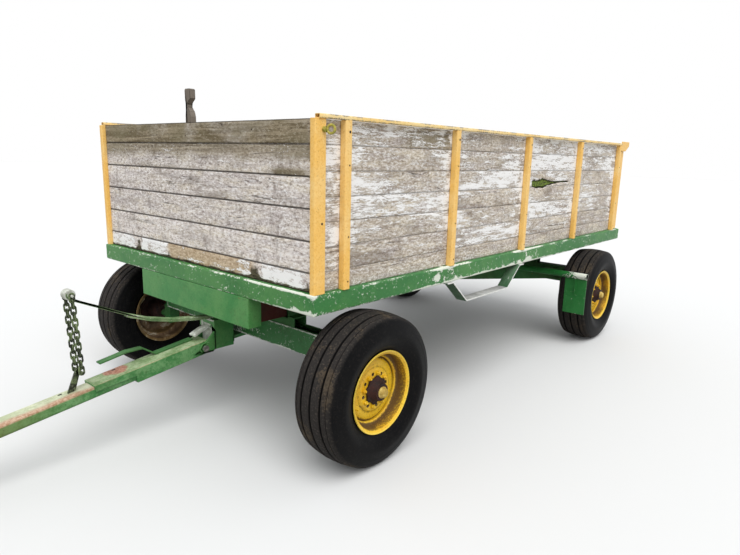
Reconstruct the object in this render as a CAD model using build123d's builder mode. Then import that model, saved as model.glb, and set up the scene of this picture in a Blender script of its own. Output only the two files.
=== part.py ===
from build123d import *
import math
import os

os.makedirs("parts", exist_ok=True)

# Barge wagon: a planked box on a four-wheel gear that steers by its tongue. Millimetres.
# X runs forward to the hitch, Y to the wagon's left, Z up; the ground is Z = 0.

# Wheels and stance
wheelbase = 2925.0
track = 2026.0
tyre_radius = 385.0
tyre_width = 279.0
tyre_wall = 14.0
crown_extra = 6.0
tread_edge_inset = 36.0
tread_edge_drop = 11.0
shoulder_inset = 22.0
shoulder_drop = 26.0
bulge_drop = 96.0
bead_inset = 15.0
flank_inset = 8.0
flank_clearance = 2.0
rim_lip_radius = 208.5
rim_seat_radius = 192.0
rim_well_radius = 167.0
rim_width = 223.0
rim_sheet = 5.0
rim_bead_inset = 9.0
rim_seat_inset = 52.0
rim_seat_fall = 3.0
rim_well_inset = 66.0
disc_dish = 58.0
disc_root_setback = 24.0
disc_face_setback = 11.0
disc_bend_width = 24.0
disc_ring_width = 18.0
disc_ring_clearance = 5.0
disc_sheet = 7.0
hub_radius = 58.0
hub_nose_radius = 44.0
hub_flange_radius = 97.0
hub_flange_thickness = 12.0
hub_inner_reach = 108.0
hub_outer_reach = 106.0
hub_cap_radius = 30.0
hub_cap_length = 24.0
hub_cap_taper = 6.0
spindle_radius = 24.0
spindle_reach = 100.0
spindle_end_gap = 3.0
running_clearance = 0.05
seat_clearance = 0.3

# Axles and steering gear
axle_setback = 310.0
axle_top = 592.0
axle_depth = 130.0
axle_width = 100.0
axle_wall = 8.0
king_half_spread = 800.0
king_boss_radius = 38.0
king_pin_radius = 20.0
king_cap_radius = 30.0
king_cap_height = 14.0
knuckle_width = 70.0
knuckle_drop = 121.0
steer_arm_reach = 150.0
steer_arm_spread = 30.0
steer_arm_width = 36.0
steer_plate_thickness = 18.0
plate_gap = 7.0
rod_pin_radius = 8.0
rod_pin_clearance = 1.0
rod_eye_radius = 18.0
rod_eye_height = 16.0
rod_eye_gap = 3.0
rod_radius = 10.0
rod_nut_radius = 13.0
rod_nut_height = 9.0
rod_end_radius = 7.5

# Steering head and tongue
head_rear = 110.0
head_front = 238.0
head_half_width = 72.0
head_top = 575.0
head_bottom = 405.0
tongue_pin_ahead = 299.0
tongue_pin_height = 425.0
tongue_pin_radius = 12.5
tongue_droop = 8.1
tongue_length = 1800.0
tongue_width = 116.0
tongue_height = 76.0
tongue_wall = 8.0
tongue_tail = 30.0
sleeve_length = 405.0
sleeve_cap_length = 615.0
sleeve_cap_skirt = 34.0
sleeve_plug = 60.0
lever_start = 20.0
lever_length = 520.0
lever_width = 42.0
lever_thickness = 8.0
lever_run = [225.0, 290.0, 372.0]
lever_rise = [0.0, 58.0, 69.0]
lever_end_rise = 64.0
drawbar_width = 98.0
drawbar_height = 60.0
drawbar_inset = 300.0
ear_thickness = 12.0
ear_radius = 30.0
ear_side_gap = 1.5
bolt_head_radius = 19.0
bolt_head_height = 10.0
strap_thickness = 10.0
strap_half_width = 28.0
strap_root_drop = 42.0
strap_bend_setback = 10.0
strap_bend_drop = 60.0
strap_end_reach = 38.0
strap_end_drop = 82.0
head_plate_inset = 20.0
ear_root_inset = 5.0
ear_root_drop = 60.0
hitch_hole_radius = 14.0
hitch_end_radius = 38.0
hitch_plate_thickness = 14.0
hitch_reach = 190.0
hitch_root = 40.0

# Lift spring and chain
leaf_width = 44.0
leaf_thickness = 9.0
leaf_root_inset = 25.0
leaf_run = [90.0, 220.0, 350.0, 470.0]
leaf_rise = [13.0, 30.0, 61.0, 105.0]
upper_leaf_length = 578.0
upper_leaf_rise = 158.0
eye_outer_radius = 26.0
eye_bore_radius = 15.0
eye_pin_radius = 6.0
eye_cheek_thickness = 6.0
eye_ahead = 976.0
eye_rise = 261.0
eye_pin_half_length = 50.0
chain_wire_diameter = 9.0
chain_inner_length = 34.0
chain_inner_width = 13.0
chain_links = 13
chain_lean = -18.0
hook_plate_thickness = 12.0
hook_plate_half_length = 18.0
hook_foot_ahead = 55.0

# Deck frame, sills and bolsters
frame_top = 898.0
frame_depth = 97.0
frame_overhang = 30.0
frame_flange = 45.0
frame_sheet = 6.0
floor_thickness = 38.0
floor_boards = 8
board_gap = 3.0
joist_count = 7
joist_width = 60.0
joist_sheet = 5.0
sill_bottom = 645.0
sill_width = 100.0
sill_outer = 470.0
front_sill_half_width = 525.0
front_sill_depth = 80.0
front_sill_sheet = 8.0
bolster_half_length = 530.0
bolster_width = 90.0
bolster_sheet = 8.0
bolster_stake_thickness = 12.0
bolster_stake_top = 770.0

# Reach pole, hounds and guard bar
reach_width = 90.0
reach_wall = 6.0
reach_bottom = 482.0
hound_length = 860.0
hound_width = 60.0
hound_height = 95.0
hound_spread = 760.0
guard_ahead = 415.0
guard_pipe_radius = 25.0
guard_pipe_wall = 5.0
guard_half_length = 1142.0
guard_plate_width = 175.0
guard_plate_height = 312.0
guard_plate_thickness = 8.0
guard_rib_length = 150.0
guard_rib_depth = 14.0

# Box walls
box_length = 3890.0
box_width = 1924.0
wall_height = 757.0
board_thickness = 38.0
post_length = 67.0
post_width = 34.0
post_proud = 22.0
post_wall = 4.0
post_round = 6.0
post_side_setback = 2.0
stake_length = 42.0
stake_width = 36.0
stake_wall = 4.0
stake_count = 5
stake_first = 155.0
stake_last_setback = 187.0
rail_width = 30.0
rail_height = 19.0
rail_wall = 2.5
rail_inset = 3.0
wall_end_setback = 145.0
centre_post_width = 52.0
centre_post_depth = 34.0
centre_post_rise = 177.0
centre_post_offset = -60.0
centre_post_head = 52.0
centre_post_worn_in = [0.0, 8.0, 30.0, 33.0, 0.0]
centre_post_worn_down = [92.0, 66.0, 42.0, 26.0, 0.0]
centre_post_plain_in = [2.0, 10.0, 1.0]
centre_post_plain_down = [6.0, 34.0, 88.0]
centre_post_corner = 7.0
eye_ring_radius = 17.5
eye_wire_radius = 5.5
eye_ring_height = 1611.0
eye_ring_turn = 18.0
eye_nut_radius = 14.0
eye_nut_height = 12.0
eye_ring_sink = 2.0

# Tailgate
gate_setback = 122.0
gate_depth = 72.0
gate_top = 1665.0
gate_sill_gap = 8.0
gate_post_width = 54.0
gate_side_gap = 7.0
gate_wall = 4.0
gate_bar_height = 50.0
gate_pin_setback = 90.0
gate_pin_height = 1632.0
gate_pin_radius = 10.0
gate_ear_thickness = 8.0
gate_ear_overhang = 38.0
gate_ear_top = 1690.0
gate_ear_height = 84.0
gate_ear_tail = 38.0
gate_ear_heel = 45.0

# Step under the left side
step_centre = 1490.0
step_half_span = 475.0
step_half_tread = 255.0
step_tab = 60.0
step_drop = 136.0
step_width = 75.0
step_overhang = 12.0
step_strap_thickness = 8.0

# Board heights from the floor up; the lowest stands on the deck
front_board_heights = [90.0, 142.0, 143.0, 139.0, 137.0, 106.0]
side_board_heights = [90.0, 112.0, 113.0, 110.0, 112.0, 114.0, 106.0]

# Places that follow from the sizes
droop = math.radians(tongue_droop)
nose_reach = tongue_pin_ahead - axle_setback + tongue_length * math.cos(droop) + hitch_end_radius
box_front = (box_length + gate_ear_overhang - nose_reach) / 2
front_axle_x = box_front - axle_setback
rear_axle_x = front_axle_x - wheelbase
wall_top = frame_top + wall_height
wall_end = box_length - wall_end_setback
frame_bottom = frame_top - frame_depth
frame_front_x = box_front + frame_overhang
frame_rear_x = box_front - box_length - frame_overhang
half_box = box_width / 2
half_frame = half_box + frame_overhang
axle_bottom = axle_top - axle_depth
half_axle = axle_width / 2
plate_top = axle_bottom - plate_gap
plate_bottom = plate_top - steer_plate_thickness
rod_eye_top = plate_bottom - rod_eye_gap
rod_eye_bottom = rod_eye_top - rod_eye_height
rod_pin_end = rod_eye_bottom - rod_eye_gap - rod_nut_height
tongue_pin_x = front_axle_x + tongue_pin_ahead
tongue_plane = Plane(
    origin=(tongue_pin_x, 0, tongue_pin_height),
    x_dir=(math.cos(droop), 0, -math.sin(droop)),
    z_dir=(0, -1, 0),
)
tongue_deck = Plane(
    origin=(tongue_pin_x, 0, tongue_pin_height),
    x_dir=(math.cos(droop), 0, -math.sin(droop)),
    z_dir=(math.sin(droop), 0, math.cos(droop)),
)


def save(builder, name):
    """Label one finished sub-part and write it to its own file."""
    builder.part.label = name
    export_step(builder.part, f"parts/{name}.step")


def band(points, thickness):
    """Outline of a strap of even thickness whose middle line runs through the points."""
    half = thickness / 2
    left, right = [], []
    for i, (x, z) in enumerate(points):
        ahead = points[min(i + 1, len(points) - 1)]
        back = points[max(i - 1, 0)]
        into = (x - back[0], z - back[1])
        out = (ahead[0] - x, ahead[1] - z)
        if i == 0:
            into = out
        if i == len(points) - 1:
            out = into
        unit_in = Vector(*into).normalized()
        unit_out = Vector(*out).normalized()
        mean = (unit_in + unit_out).normalized()
        stretch = half / mean.dot(unit_in)
        left.append((x - mean.Y * stretch, z + mean.X * stretch))
        right.append((x + mean.Y * stretch, z - mean.X * stretch))
    return left + right[::-1]


def side_plane(y):
    """Upright plane along the wagon at y; sketches on it grow towards the right side."""
    return Plane(origin=(0, y, 0), x_dir=(1, 0, 0), z_dir=(0, -1, 0))


def outward_plane(x, y, z, side):
    """Upright plane along the wagon through a point; sketches on it grow outward on the given side."""
    return Plane(origin=(x, y, z), x_dir=(1, 0, 0), z_dir=(0, side, 0))


def wheel_plane(x):
    """Upright plane across the wagon at an axle; its x is the wagon's Y, its y is height over the hub."""
    return Plane(origin=(x, 0, tyre_radius), x_dir=(0, 1, 0), z_dir=(1, 0, 0))


def outline(points):
    """Closed face through the points in the open sketch."""
    with BuildLine(mode=Mode.PRIVATE) as loop:
        Polyline(*points, close=True)
    make_face(loop.edges())


def box_between(low, high, mode=Mode.ADD):
    """Block between two corners in the open part."""
    size = [high[i] - low[i] for i in range(3)]
    with Locations(tuple((low[i] + high[i]) / 2 for i in range(3))):
        Box(*size, mode=mode)


# Deck frame: channels with mitred corners, flanges turned inward
channel = [
    (0, 0), (-frame_flange, 0), (-frame_flange, frame_sheet), (-frame_sheet, frame_sheet),
    (-frame_sheet, frame_depth - frame_sheet), (-frame_flange, frame_depth - frame_sheet),
    (-frame_flange, frame_depth), (0, frame_depth),
]
mitre_front = Plane(origin=(frame_front_x, half_frame, 0), z_dir=(1, -1, 0))
mitre_rear = Plane(origin=(frame_rear_x, half_frame, 0), z_dir=(1, 1, 0))

with BuildPart() as frame_sides:
    with BuildSketch(Plane.YZ.offset(frame_rear_x)):
        outline([(half_frame + y, frame_bottom + z) for y, z in channel])
    extrude(amount=frame_front_x - frame_rear_x)
    split(bisect_by=mitre_front, keep=Keep.BOTTOM)
    split(bisect_by=mitre_rear, keep=Keep.TOP)
    mirror(about=Plane.XZ)
save(frame_sides, "frame_sides")

with BuildPart() as frame_ends:
    with BuildSketch(side_plane(half_frame)):
        outline([(frame_front_x + x, frame_bottom + z) for x, z in channel])
    with BuildSketch(side_plane(half_frame)):
        outline([(frame_rear_x - x, frame_bottom + z) for x, z in channel])
    extrude(amount=2 * half_frame)
    for side in (1, -1):
        for end_x, way in ((frame_front_x, 1), (frame_rear_x, -1)):
            with BuildSketch(Plane.XY.offset(frame_bottom - 1), mode=Mode.PRIVATE) as corner:
                outline([
                    (end_x + way, side * (half_frame + 1)),
                    (end_x - way * (frame_flange + 1), side * (half_frame + 1)),
                    (end_x - way * (frame_flange + 1), side * (half_frame - frame_flange - 1)),
                ])
            extrude(corner.sketch, amount=frame_depth + 2, mode=Mode.SUBTRACT)
save(frame_ends, "frame_ends")

# Joists across the deck, on the sills
joist_top = frame_top - floor_thickness
joist_half = half_frame - frame_flange
joist_first = box_front - frame_flange - joist_width
joist_last = box_front - box_length + frame_flange + joist_width
with BuildPart() as joists:
    for i in range(joist_count):
        mid = joist_first + (joist_last - joist_first) * i / (joist_count - 1)
        with BuildSketch(side_plane(joist_half)):
            with Locations((mid, (frame_bottom + joist_top) / 2)):
                Rectangle(joist_width, joist_top - frame_bottom)
                Rectangle(
                    joist_width - 2 * joist_sheet, joist_top - frame_bottom - 2 * joist_sheet,
                    mode=Mode.SUBTRACT,
                )
        extrude(amount=2 * joist_half)
save(joists, "joists")

# Floor boards run lengthwise between the frame's flanges
floor_half = joist_half - 1
floor_pitch = (2 * floor_half + board_gap) / floor_boards
floor_front = box_front - board_thickness - 1
floor_rear = frame_rear_x + frame_flange + 1
with BuildPart() as floor:
    for i in range(floor_boards):
        low_y = -floor_half + i * floor_pitch
        high_y = low_y + floor_pitch - board_gap
        box_between((floor_rear, low_y, joist_top), (floor_front, high_y, frame_top))
save(floor, "floor")

# Long sills under the joists, and the green cross sill that closes them in front
front_sill_back = frame_front_x - front_sill_depth
with BuildPart() as long_sills:
    box_between(
        (frame_rear_x + frame_flange, sill_outer - sill_width, sill_bottom),
        (front_sill_back, sill_outer, frame_bottom),
    )
    mirror(about=Plane.XZ)
save(long_sills, "long_sills")

with BuildPart() as front_sill:
    box_between(
        (front_sill_back, -front_sill_half_width, sill_bottom),
        (frame_front_x, front_sill_half_width, frame_bottom),
    )
    box_between(
        (front_sill_back - 1, front_sill_sheet - front_sill_half_width, sill_bottom + front_sill_sheet),
        (
            frame_front_x - front_sill_sheet, front_sill_half_width - front_sill_sheet,
            frame_bottom - front_sill_sheet,
        ),
        mode=Mode.SUBTRACT,
    )
save(front_sill, "front_sill")

# Bolsters on the axles, with stakes that hold the sills
for name, axle_x in (("front_bolster", front_axle_x), ("rear_bolster", rear_axle_x)):
    with BuildPart() as bolster:
        with BuildSketch(side_plane(bolster_half_length)):
            with Locations((axle_x, (axle_top + sill_bottom) / 2)):
                Rectangle(bolster_width, sill_bottom - axle_top)
            with Locations((axle_x, (axle_top + sill_bottom) / 2 - bolster_sheet)):
                Rectangle(bolster_width - 2 * bolster_sheet, sill_bottom - axle_top, mode=Mode.SUBTRACT)
        extrude(amount=2 * bolster_half_length)
        for side in (1, -1):
            near = side * sill_outer
            far = side * (sill_outer + bolster_stake_thickness)
            box_between(
                (axle_x - bolster_width / 2, min(near, far), sill_bottom - bolster_sheet),
                (axle_x + bolster_width / 2, max(near, far), bolster_stake_top),
            )
    save(bolster, name)

# Front axle: box beam, bosses for the wheel kingpins, and the tongue head's own pin below its middle
beam_half = king_half_spread - king_boss_radius + 4
with BuildPart() as front_axle:
    with BuildSketch(side_plane(beam_half)):
        with Locations((front_axle_x, (axle_top + axle_bottom) / 2)):
            Rectangle(axle_width, axle_depth)
            Rectangle(axle_width - 2 * axle_wall, axle_depth - 2 * axle_wall, mode=Mode.SUBTRACT)
    extrude(amount=2 * beam_half)
    with BuildSketch(Plane.XY.offset(axle_bottom)):
        with Locations((front_axle_x, king_half_spread), (front_axle_x, -king_half_spread)):
            Circle(king_boss_radius)
    extrude(amount=axle_depth)
    with BuildSketch(Plane.XY.offset(axle_bottom)):
        with Locations((front_axle_x, king_half_spread), (front_axle_x, -king_half_spread)):
            Circle(king_pin_radius + running_clearance)
    extrude(amount=axle_depth, mode=Mode.SUBTRACT)
    with BuildSketch(Plane.XY.offset(plate_bottom - rod_eye_gap)):
        with Locations((front_axle_x, 0)):
            Circle(king_pin_radius)
    extrude(amount=axle_bottom + axle_wall - plate_bottom + rod_eye_gap)
    with BuildSketch(Plane.XY.offset(plate_bottom - rod_eye_gap - rod_nut_height)):
        with Locations((front_axle_x, 0)):
            RegularPolygon(king_cap_radius, 6)
    extrude(amount=rod_nut_height)
save(front_axle, "front_axle")

# Rear axle: the same beam with spindles fixed in its ends
with BuildPart() as rear_axle:
    with BuildSketch(side_plane(king_half_spread)):
        with Locations((rear_axle_x, (axle_top + axle_bottom) / 2)):
            Rectangle(axle_width, axle_depth)
            Rectangle(axle_width - 2 * axle_wall, axle_depth - 2 * axle_wall, mode=Mode.SUBTRACT)
    extrude(amount=2 * king_half_spread)
    for side in (1, -1):
        inner = side * (king_half_spread - knuckle_width / 2)
        outer = side * (king_half_spread + knuckle_width / 2)
        box_between(
            (rear_axle_x - knuckle_width / 2, min(inner, outer), axle_bottom - knuckle_drop),
            (rear_axle_x + knuckle_width / 2, max(inner, outer), axle_top),
        )
    with BuildSketch(outward_plane(rear_axle_x, 0, tyre_radius, 1)):
        Circle(spindle_radius)
    extrude(amount=track / 2 + spindle_reach, both=True, mode=Mode.ADD)
    box_between(
        (rear_axle_x - half_axle, -(king_half_spread - knuckle_width / 2), 0),
        (rear_axle_x + half_axle, king_half_spread - knuckle_width / 2, axle_bottom),
        mode=Mode.SUBTRACT,
    )
save(rear_axle, "rear_axle")

# Knuckles: kingpin in the axle's boss, spindle outward, steering arm behind
rod_pin_x = front_axle_x - steer_arm_reach
for name, side in (("knuckle_left", 1), ("knuckle_right", -1)):
    king_y = side * king_half_spread
    rod_y = side * (king_half_spread + steer_arm_spread)
    with BuildPart() as knuckle:
        box_between(
            (front_axle_x - knuckle_width / 2, king_y - knuckle_width / 2, axle_bottom - knuckle_drop),
            (front_axle_x + knuckle_width / 2, king_y + knuckle_width / 2, axle_bottom - seat_clearance),
        )
        with BuildSketch(Plane.XY.offset(axle_bottom - knuckle_drop / 2)):
            with Locations((front_axle_x, king_y)):
                Circle(king_pin_radius)
        extrude(amount=knuckle_drop / 2 + axle_depth + seat_clearance)
        with BuildSketch(Plane.XY.offset(axle_top + seat_clearance)):
            with Locations((front_axle_x, king_y)):
                Circle(king_cap_radius)
        extrude(amount=king_cap_height)
        with BuildSketch(outward_plane(front_axle_x, king_y, tyre_radius, side)):
            Circle(spindle_radius)
        extrude(amount=track / 2 + spindle_reach - king_half_spread)
        with BuildSketch(Plane.XY.offset(plate_bottom)):
            with Locations((rod_pin_x, rod_y)):
                Circle(steer_arm_width / 2)
            with Locations(((rod_pin_x + front_axle_x) / 2, rod_y)):
                Rectangle(steer_arm_reach, steer_arm_width)
        extrude(amount=steer_plate_thickness)
        with BuildSketch(Plane.XY.offset(rod_pin_end)):
            with Locations((rod_pin_x, rod_y)):
                Circle(rod_pin_radius)
        extrude(amount=plate_bottom - rod_pin_end)
        with BuildSketch(Plane.XY.offset(rod_pin_end)):
            with Locations((rod_pin_x, rod_y)):
                RegularPolygon(rod_nut_radius, 6)
        extrude(amount=rod_nut_height)
    save(knuckle, name)

# Tie rods: an eye at each end under the head's plate and the knuckle's arm
rod_mid_z = (rod_eye_top + rod_eye_bottom) / 2
for name, side in (("tie_rod_left", 1), ("tie_rod_right", -1)):
    inner_y = side * steer_arm_spread
    outer_y = side * (king_half_spread + steer_arm_spread)
    with BuildPart() as tie_rod:
        with BuildSketch(Plane.XY.offset(rod_eye_bottom)):
            with Locations((rod_pin_x, inner_y), (rod_pin_x, outer_y)):
                Circle(rod_eye_radius)
        extrude(amount=rod_eye_height)
        with BuildSketch(outward_plane(rod_pin_x, inner_y, rod_mid_z, side)):
            Circle(rod_end_radius)
        extrude(amount=king_half_spread)
        with BuildSketch(outward_plane(rod_pin_x, inner_y + side * 2 * rod_eye_radius, rod_mid_z, side)):
            Circle(rod_radius)
        extrude(amount=king_half_spread - 4 * rod_eye_radius)
        with BuildSketch(Plane.XY.offset(rod_eye_bottom)):
            with Locations((rod_pin_x, inner_y)):
                Circle(rod_pin_radius + running_clearance)
            with Locations((rod_pin_x, outer_y)):
                Circle(rod_pin_radius + rod_pin_clearance)
        extrude(amount=rod_eye_height, mode=Mode.SUBTRACT)
    save(tie_rod, name)

# Steering head: block ahead of the axle, plate under it on the head's pin, ears for the tongue
head_x0 = front_axle_x + head_rear
head_x1 = front_axle_x + head_front
ear_inner = tongue_width / 2 + ear_side_gap
with BuildPart() as steering_head:
    box_between((head_x0, -head_half_width, head_bottom), (head_x1, head_half_width, head_top))
    with BuildSketch(Plane.XY.offset(plate_bottom)):
        outline([
            (head_x0 + head_plate_inset, head_half_width),
            (front_axle_x, king_cap_radius + head_plate_inset),
            (rod_pin_x, steer_arm_spread + rod_eye_radius),
            (rod_pin_x - rod_eye_radius, steer_arm_spread),
            (rod_pin_x - rod_eye_radius, -steer_arm_spread),
            (rod_pin_x, -steer_arm_spread - rod_eye_radius),
            (front_axle_x, -king_cap_radius - head_plate_inset),
            (head_x0 + head_plate_inset, -head_half_width),
        ])
        with Locations((front_axle_x, 0)):
            Circle(king_pin_radius + running_clearance, mode=Mode.SUBTRACT)
    extrude(amount=steer_plate_thickness)
    with BuildSketch(Plane.XY.offset(rod_pin_end)):
        with Locations((rod_pin_x, steer_arm_spread), (rod_pin_x, -steer_arm_spread)):
            Circle(rod_pin_radius)
    extrude(amount=plate_bottom - rod_pin_end)
    with BuildSketch(Plane.XY.offset(rod_pin_end)):
        with Locations((rod_pin_x, steer_arm_spread), (rod_pin_x, -steer_arm_spread)):
            RegularPolygon(rod_nut_radius, 6)
    extrude(amount=rod_nut_height)
    for ear_start in (ear_inner + ear_thickness, -ear_inner):
        with BuildSketch(side_plane(ear_start)):
            with Locations((tongue_pin_x, tongue_pin_height)):
                Circle(ear_radius)
            outline([
                (tongue_pin_x, tongue_pin_height + ear_radius),
                (head_x1 - ear_root_inset, head_top - ear_root_drop),
                (head_x1 - ear_root_inset, head_bottom), (tongue_pin_x, tongue_pin_height - ear_radius),
            ])
        extrude(amount=ear_thickness)
    pin_half = ear_inner + ear_thickness + bolt_head_height
    with BuildSketch(side_plane(pin_half)):
        with Locations((tongue_pin_x, tongue_pin_height)):
            Circle(tongue_pin_radius)
    extrude(amount=2 * pin_half)
    for head_start in (pin_half, -ear_inner - ear_thickness):
        with BuildSketch(side_plane(head_start)):
            with Locations((tongue_pin_x, tongue_pin_height)):
                RegularPolygon(bolt_head_radius, 6)
        extrude(amount=bolt_head_height)
    with BuildSketch(side_plane(strap_half_width)):
        outline(band([
            (head_x1 - ear_root_inset, head_top - strap_root_drop),
            (tongue_pin_x - strap_bend_setback, head_top - strap_bend_drop),
            (tongue_pin_x + strap_end_reach, head_top - strap_end_drop),
        ], strap_thickness))
    extrude(amount=2 * strap_half_width)
save(steering_head, "steering_head")

# Lift spring: two leaves clamped on the head, rolled into an eye with a cross pin
leaf_root_x = head_x0 + leaf_root_inset
leaf_root_z = head_top + leaf_thickness / 2
eye_x = front_axle_x + eye_ahead
eye_z = head_top + eye_rise
lower_leaf = [(leaf_root_x, leaf_root_z), (head_x1 + ear_root_inset, leaf_root_z)] + [
    (head_x1 + run, head_top + rise) for run, rise in zip(leaf_run, leaf_rise)
]
eye_middle = (eye_outer_radius + eye_bore_radius) / 2
upper_run = head_x1 + upper_leaf_length
eye_tangent = math.atan2(eye_z - head_top - upper_leaf_rise, eye_x - upper_run)
upper_leaf = [(x, z + leaf_thickness) for x, z in lower_leaf] + [
    (upper_run, head_top + upper_leaf_rise + leaf_thickness - 2),
    (eye_x + eye_middle * math.sin(eye_tangent), eye_z - eye_middle * math.cos(eye_tangent)),
]
with BuildPart() as lift_spring:
    with BuildSketch(side_plane(leaf_width / 2)):
        outline(band(lower_leaf, leaf_thickness))
        outline(band(upper_leaf, leaf_thickness))
        with Locations((eye_x, eye_z)):
            Circle(eye_outer_radius)
            Circle(eye_bore_radius, mode=Mode.SUBTRACT)
    extrude(amount=leaf_width)
    for side in (1, -1):
        cheek_y = side * (leaf_width / 2 - eye_cheek_thickness)
        with BuildSketch(outward_plane(eye_x, cheek_y, eye_z, side)):
            Circle(eye_bore_radius)
        extrude(amount=eye_cheek_thickness)
        with BuildSketch(outward_plane(eye_x, cheek_y, eye_z, side)):
            Circle(eye_pin_radius)
        extrude(amount=eye_cheek_thickness + eye_pin_half_length - leaf_width / 2)
save(lift_spring, "lift_spring")

# Lift chain: two strands from the eye's pin down to the cross pin of the drawbar's hook
link_sag = chain_inner_width / 2 - math.sqrt((chain_inner_width / 2) ** 2 - (chain_wire_diameter / 2) ** 2)
chain_pitch = chain_inner_length - 2 * link_sag - seat_clearance
chain_end = chain_inner_length / 2 - eye_pin_radius - seat_clearance
chain_reach = 2 * chain_end + (chain_links - 1) * chain_pitch
chain_drop = math.sqrt(chain_reach ** 2 - chain_lean ** 2)
chain_run = Vector(chain_lean, 0, -chain_drop).normalized()
chain_spread = leaf_width / 2 + chain_inner_width / 2 + chain_wire_diameter + 1
hook_x = eye_x + chain_lean
hook_z = eye_z - chain_drop


def link(centre, across):
    """One flat link: its length runs along the strand, its face looks across."""
    with BuildSketch(Plane(origin=centre, x_dir=chain_run, z_dir=across), mode=Mode.PRIVATE) as flat:
        SlotOverall(
            chain_inner_length + 2 * chain_wire_diameter, chain_inner_width + 2 * chain_wire_diameter,
        )
        SlotOverall(chain_inner_length, chain_inner_width, mode=Mode.SUBTRACT)
    extrude(flat.sketch, amount=chain_wire_diameter / 2, both=True)


with BuildPart() as lift_chain:
    for side in (1, -1):
        for i in range(chain_links):
            along = chain_run * (chain_end + i * chain_pitch)
            face = chain_run.cross(Vector(0, 1, 0)) if i % 2 else Vector(0, 1, 0)
            link(Vector(eye_x, side * chain_spread, eye_z) + along, face)
save(lift_chain, "lift_chain")

# Tongue: outer sleeve on the head's pin, drawbar inside it, hitch clevis at its end
half_tongue = tongue_width / 2
with BuildPart() as tongue_sleeve:
    with BuildSketch(tongue_plane.offset(-half_tongue)):
        with Locations(((sleeve_length - tongue_tail) / 2, 0)):
            Rectangle(sleeve_length + tongue_tail, tongue_height)
        outline([
            (sleeve_length - 1, tongue_height / 2), (sleeve_cap_length, tongue_height / 2),
            (sleeve_cap_length, tongue_height / 2 - sleeve_cap_skirt), (sleeve_length - 1, 0),
        ])
    extrude(amount=tongue_width)
    with BuildSketch(tongue_plane.offset(tongue_wall - half_tongue)):
        outline([
            (sleeve_plug, drawbar_height / 2), (sleeve_cap_length + 1, drawbar_height / 2),
            (sleeve_cap_length + 1, -drawbar_height / 2), (sleeve_plug, -drawbar_height / 2),
        ])
    extrude(amount=tongue_width - 2 * tongue_wall, mode=Mode.SUBTRACT)
    with BuildSketch(tongue_plane.offset(-half_tongue)):
        Circle(tongue_pin_radius + running_clearance)
    extrude(amount=tongue_width, mode=Mode.SUBTRACT)
save(tongue_sleeve, "tongue_sleeve")

hook_along = (hook_x - tongue_pin_x) * math.cos(droop) - (hook_z - tongue_pin_height) * math.sin(droop)
hook_height = (hook_x - tongue_pin_x) * math.sin(droop) + (hook_z - tongue_pin_height) * math.cos(droop)
hook_foot = hook_along + hook_foot_ahead
with BuildPart() as drawbar:
    with BuildSketch(tongue_plane.offset(-drawbar_width / 2)):
        with Locations(((tongue_length - hitch_reach + drawbar_inset) / 2, 0)):
            Rectangle(tongue_length - hitch_reach - drawbar_inset, drawbar_height)
    extrude(amount=drawbar_width)
save(drawbar, "drawbar")

with BuildPart() as chain_hook:
    with BuildSketch(tongue_plane.offset(-hook_plate_thickness / 2)):
        outline([
            (hook_foot - hook_plate_half_length, drawbar_height / 2),
            (hook_foot + hook_plate_half_length, drawbar_height / 2),
            (hook_along + 2 * eye_pin_radius, hook_height + 2 * eye_pin_radius),
            (hook_along - 2 * eye_pin_radius, hook_height + 2 * eye_pin_radius),
        ])
    extrude(amount=hook_plate_thickness)
    with BuildSketch(tongue_plane.offset(-eye_pin_half_length)):
        with Locations((hook_along, hook_height)):
            Circle(eye_pin_radius)
    extrude(amount=2 * eye_pin_half_length)
save(chain_hook, "chain_hook")

lever_low = tongue_height / 2 + lever_thickness / 2
with BuildPart() as sleeve_lever:
    with BuildSketch(tongue_plane.offset(half_tongue - lever_width)):
        outline(band(
            [(lever_start, lever_low)]
            + [(lever_start + run, lever_low + rise) for run, rise in zip(lever_run, lever_rise)]
            + [(lever_start + lever_length, lever_low + lever_end_rise)],
            lever_thickness,
        ))
    extrude(amount=lever_width)
save(sleeve_lever, "sleeve_lever")

with BuildPart() as hitch_clevis:
    for low in (drawbar_height / 2 - hitch_plate_thickness, -drawbar_height / 2):
        with BuildSketch(tongue_deck.offset(low)):
            with Locations((tongue_length, 0)):
                Circle(hitch_end_radius)
            with Locations((tongue_length - hitch_reach / 2, 0)):
                Rectangle(hitch_reach, 2 * hitch_end_radius)
            with Locations((tongue_length, 0)):
                Circle(hitch_hole_radius, mode=Mode.SUBTRACT)
        extrude(amount=hitch_plate_thickness)
    with BuildSketch(tongue_deck.offset(-drawbar_height / 2)):
        with Locations((tongue_length - hitch_reach + hitch_root / 2, 0)):
            Rectangle(hitch_root, 2 * hitch_end_radius)
    extrude(amount=drawbar_height)
save(hitch_clevis, "hitch_clevis")

# Reach pole, hounds and the guard bar ahead of the rear wheels
with BuildPart() as reach_pole:
    with BuildSketch(Plane.YZ.offset(rear_axle_x + half_axle)):
        with Locations((0, reach_bottom + reach_width / 2)):
            Rectangle(reach_width, reach_width)
            Rectangle(reach_width - 2 * reach_wall, reach_width - 2 * reach_wall, mode=Mode.SUBTRACT)
    extrude(amount=wheelbase - axle_width)
save(reach_pole, "reach_pole")

hound_x0 = rear_axle_x + half_axle
hound_slope = (hound_spread - reach_width / 2) / hound_length
hound_cut = hound_width * math.hypot(1, hound_slope)
with BuildPart() as rear_hounds:
    with BuildSketch(Plane.XY.offset(reach_bottom)):
        outline([
            (hound_x0 + hound_length, reach_width / 2), (hound_x0, hound_spread),
            (hound_x0, hound_spread - hound_cut),
            (hound_x0 + hound_length - hound_cut / hound_slope, reach_width / 2),
        ])
    extrude(amount=hound_height)
    mirror(about=Plane.XZ)
save(rear_hounds, "rear_hounds")

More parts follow.
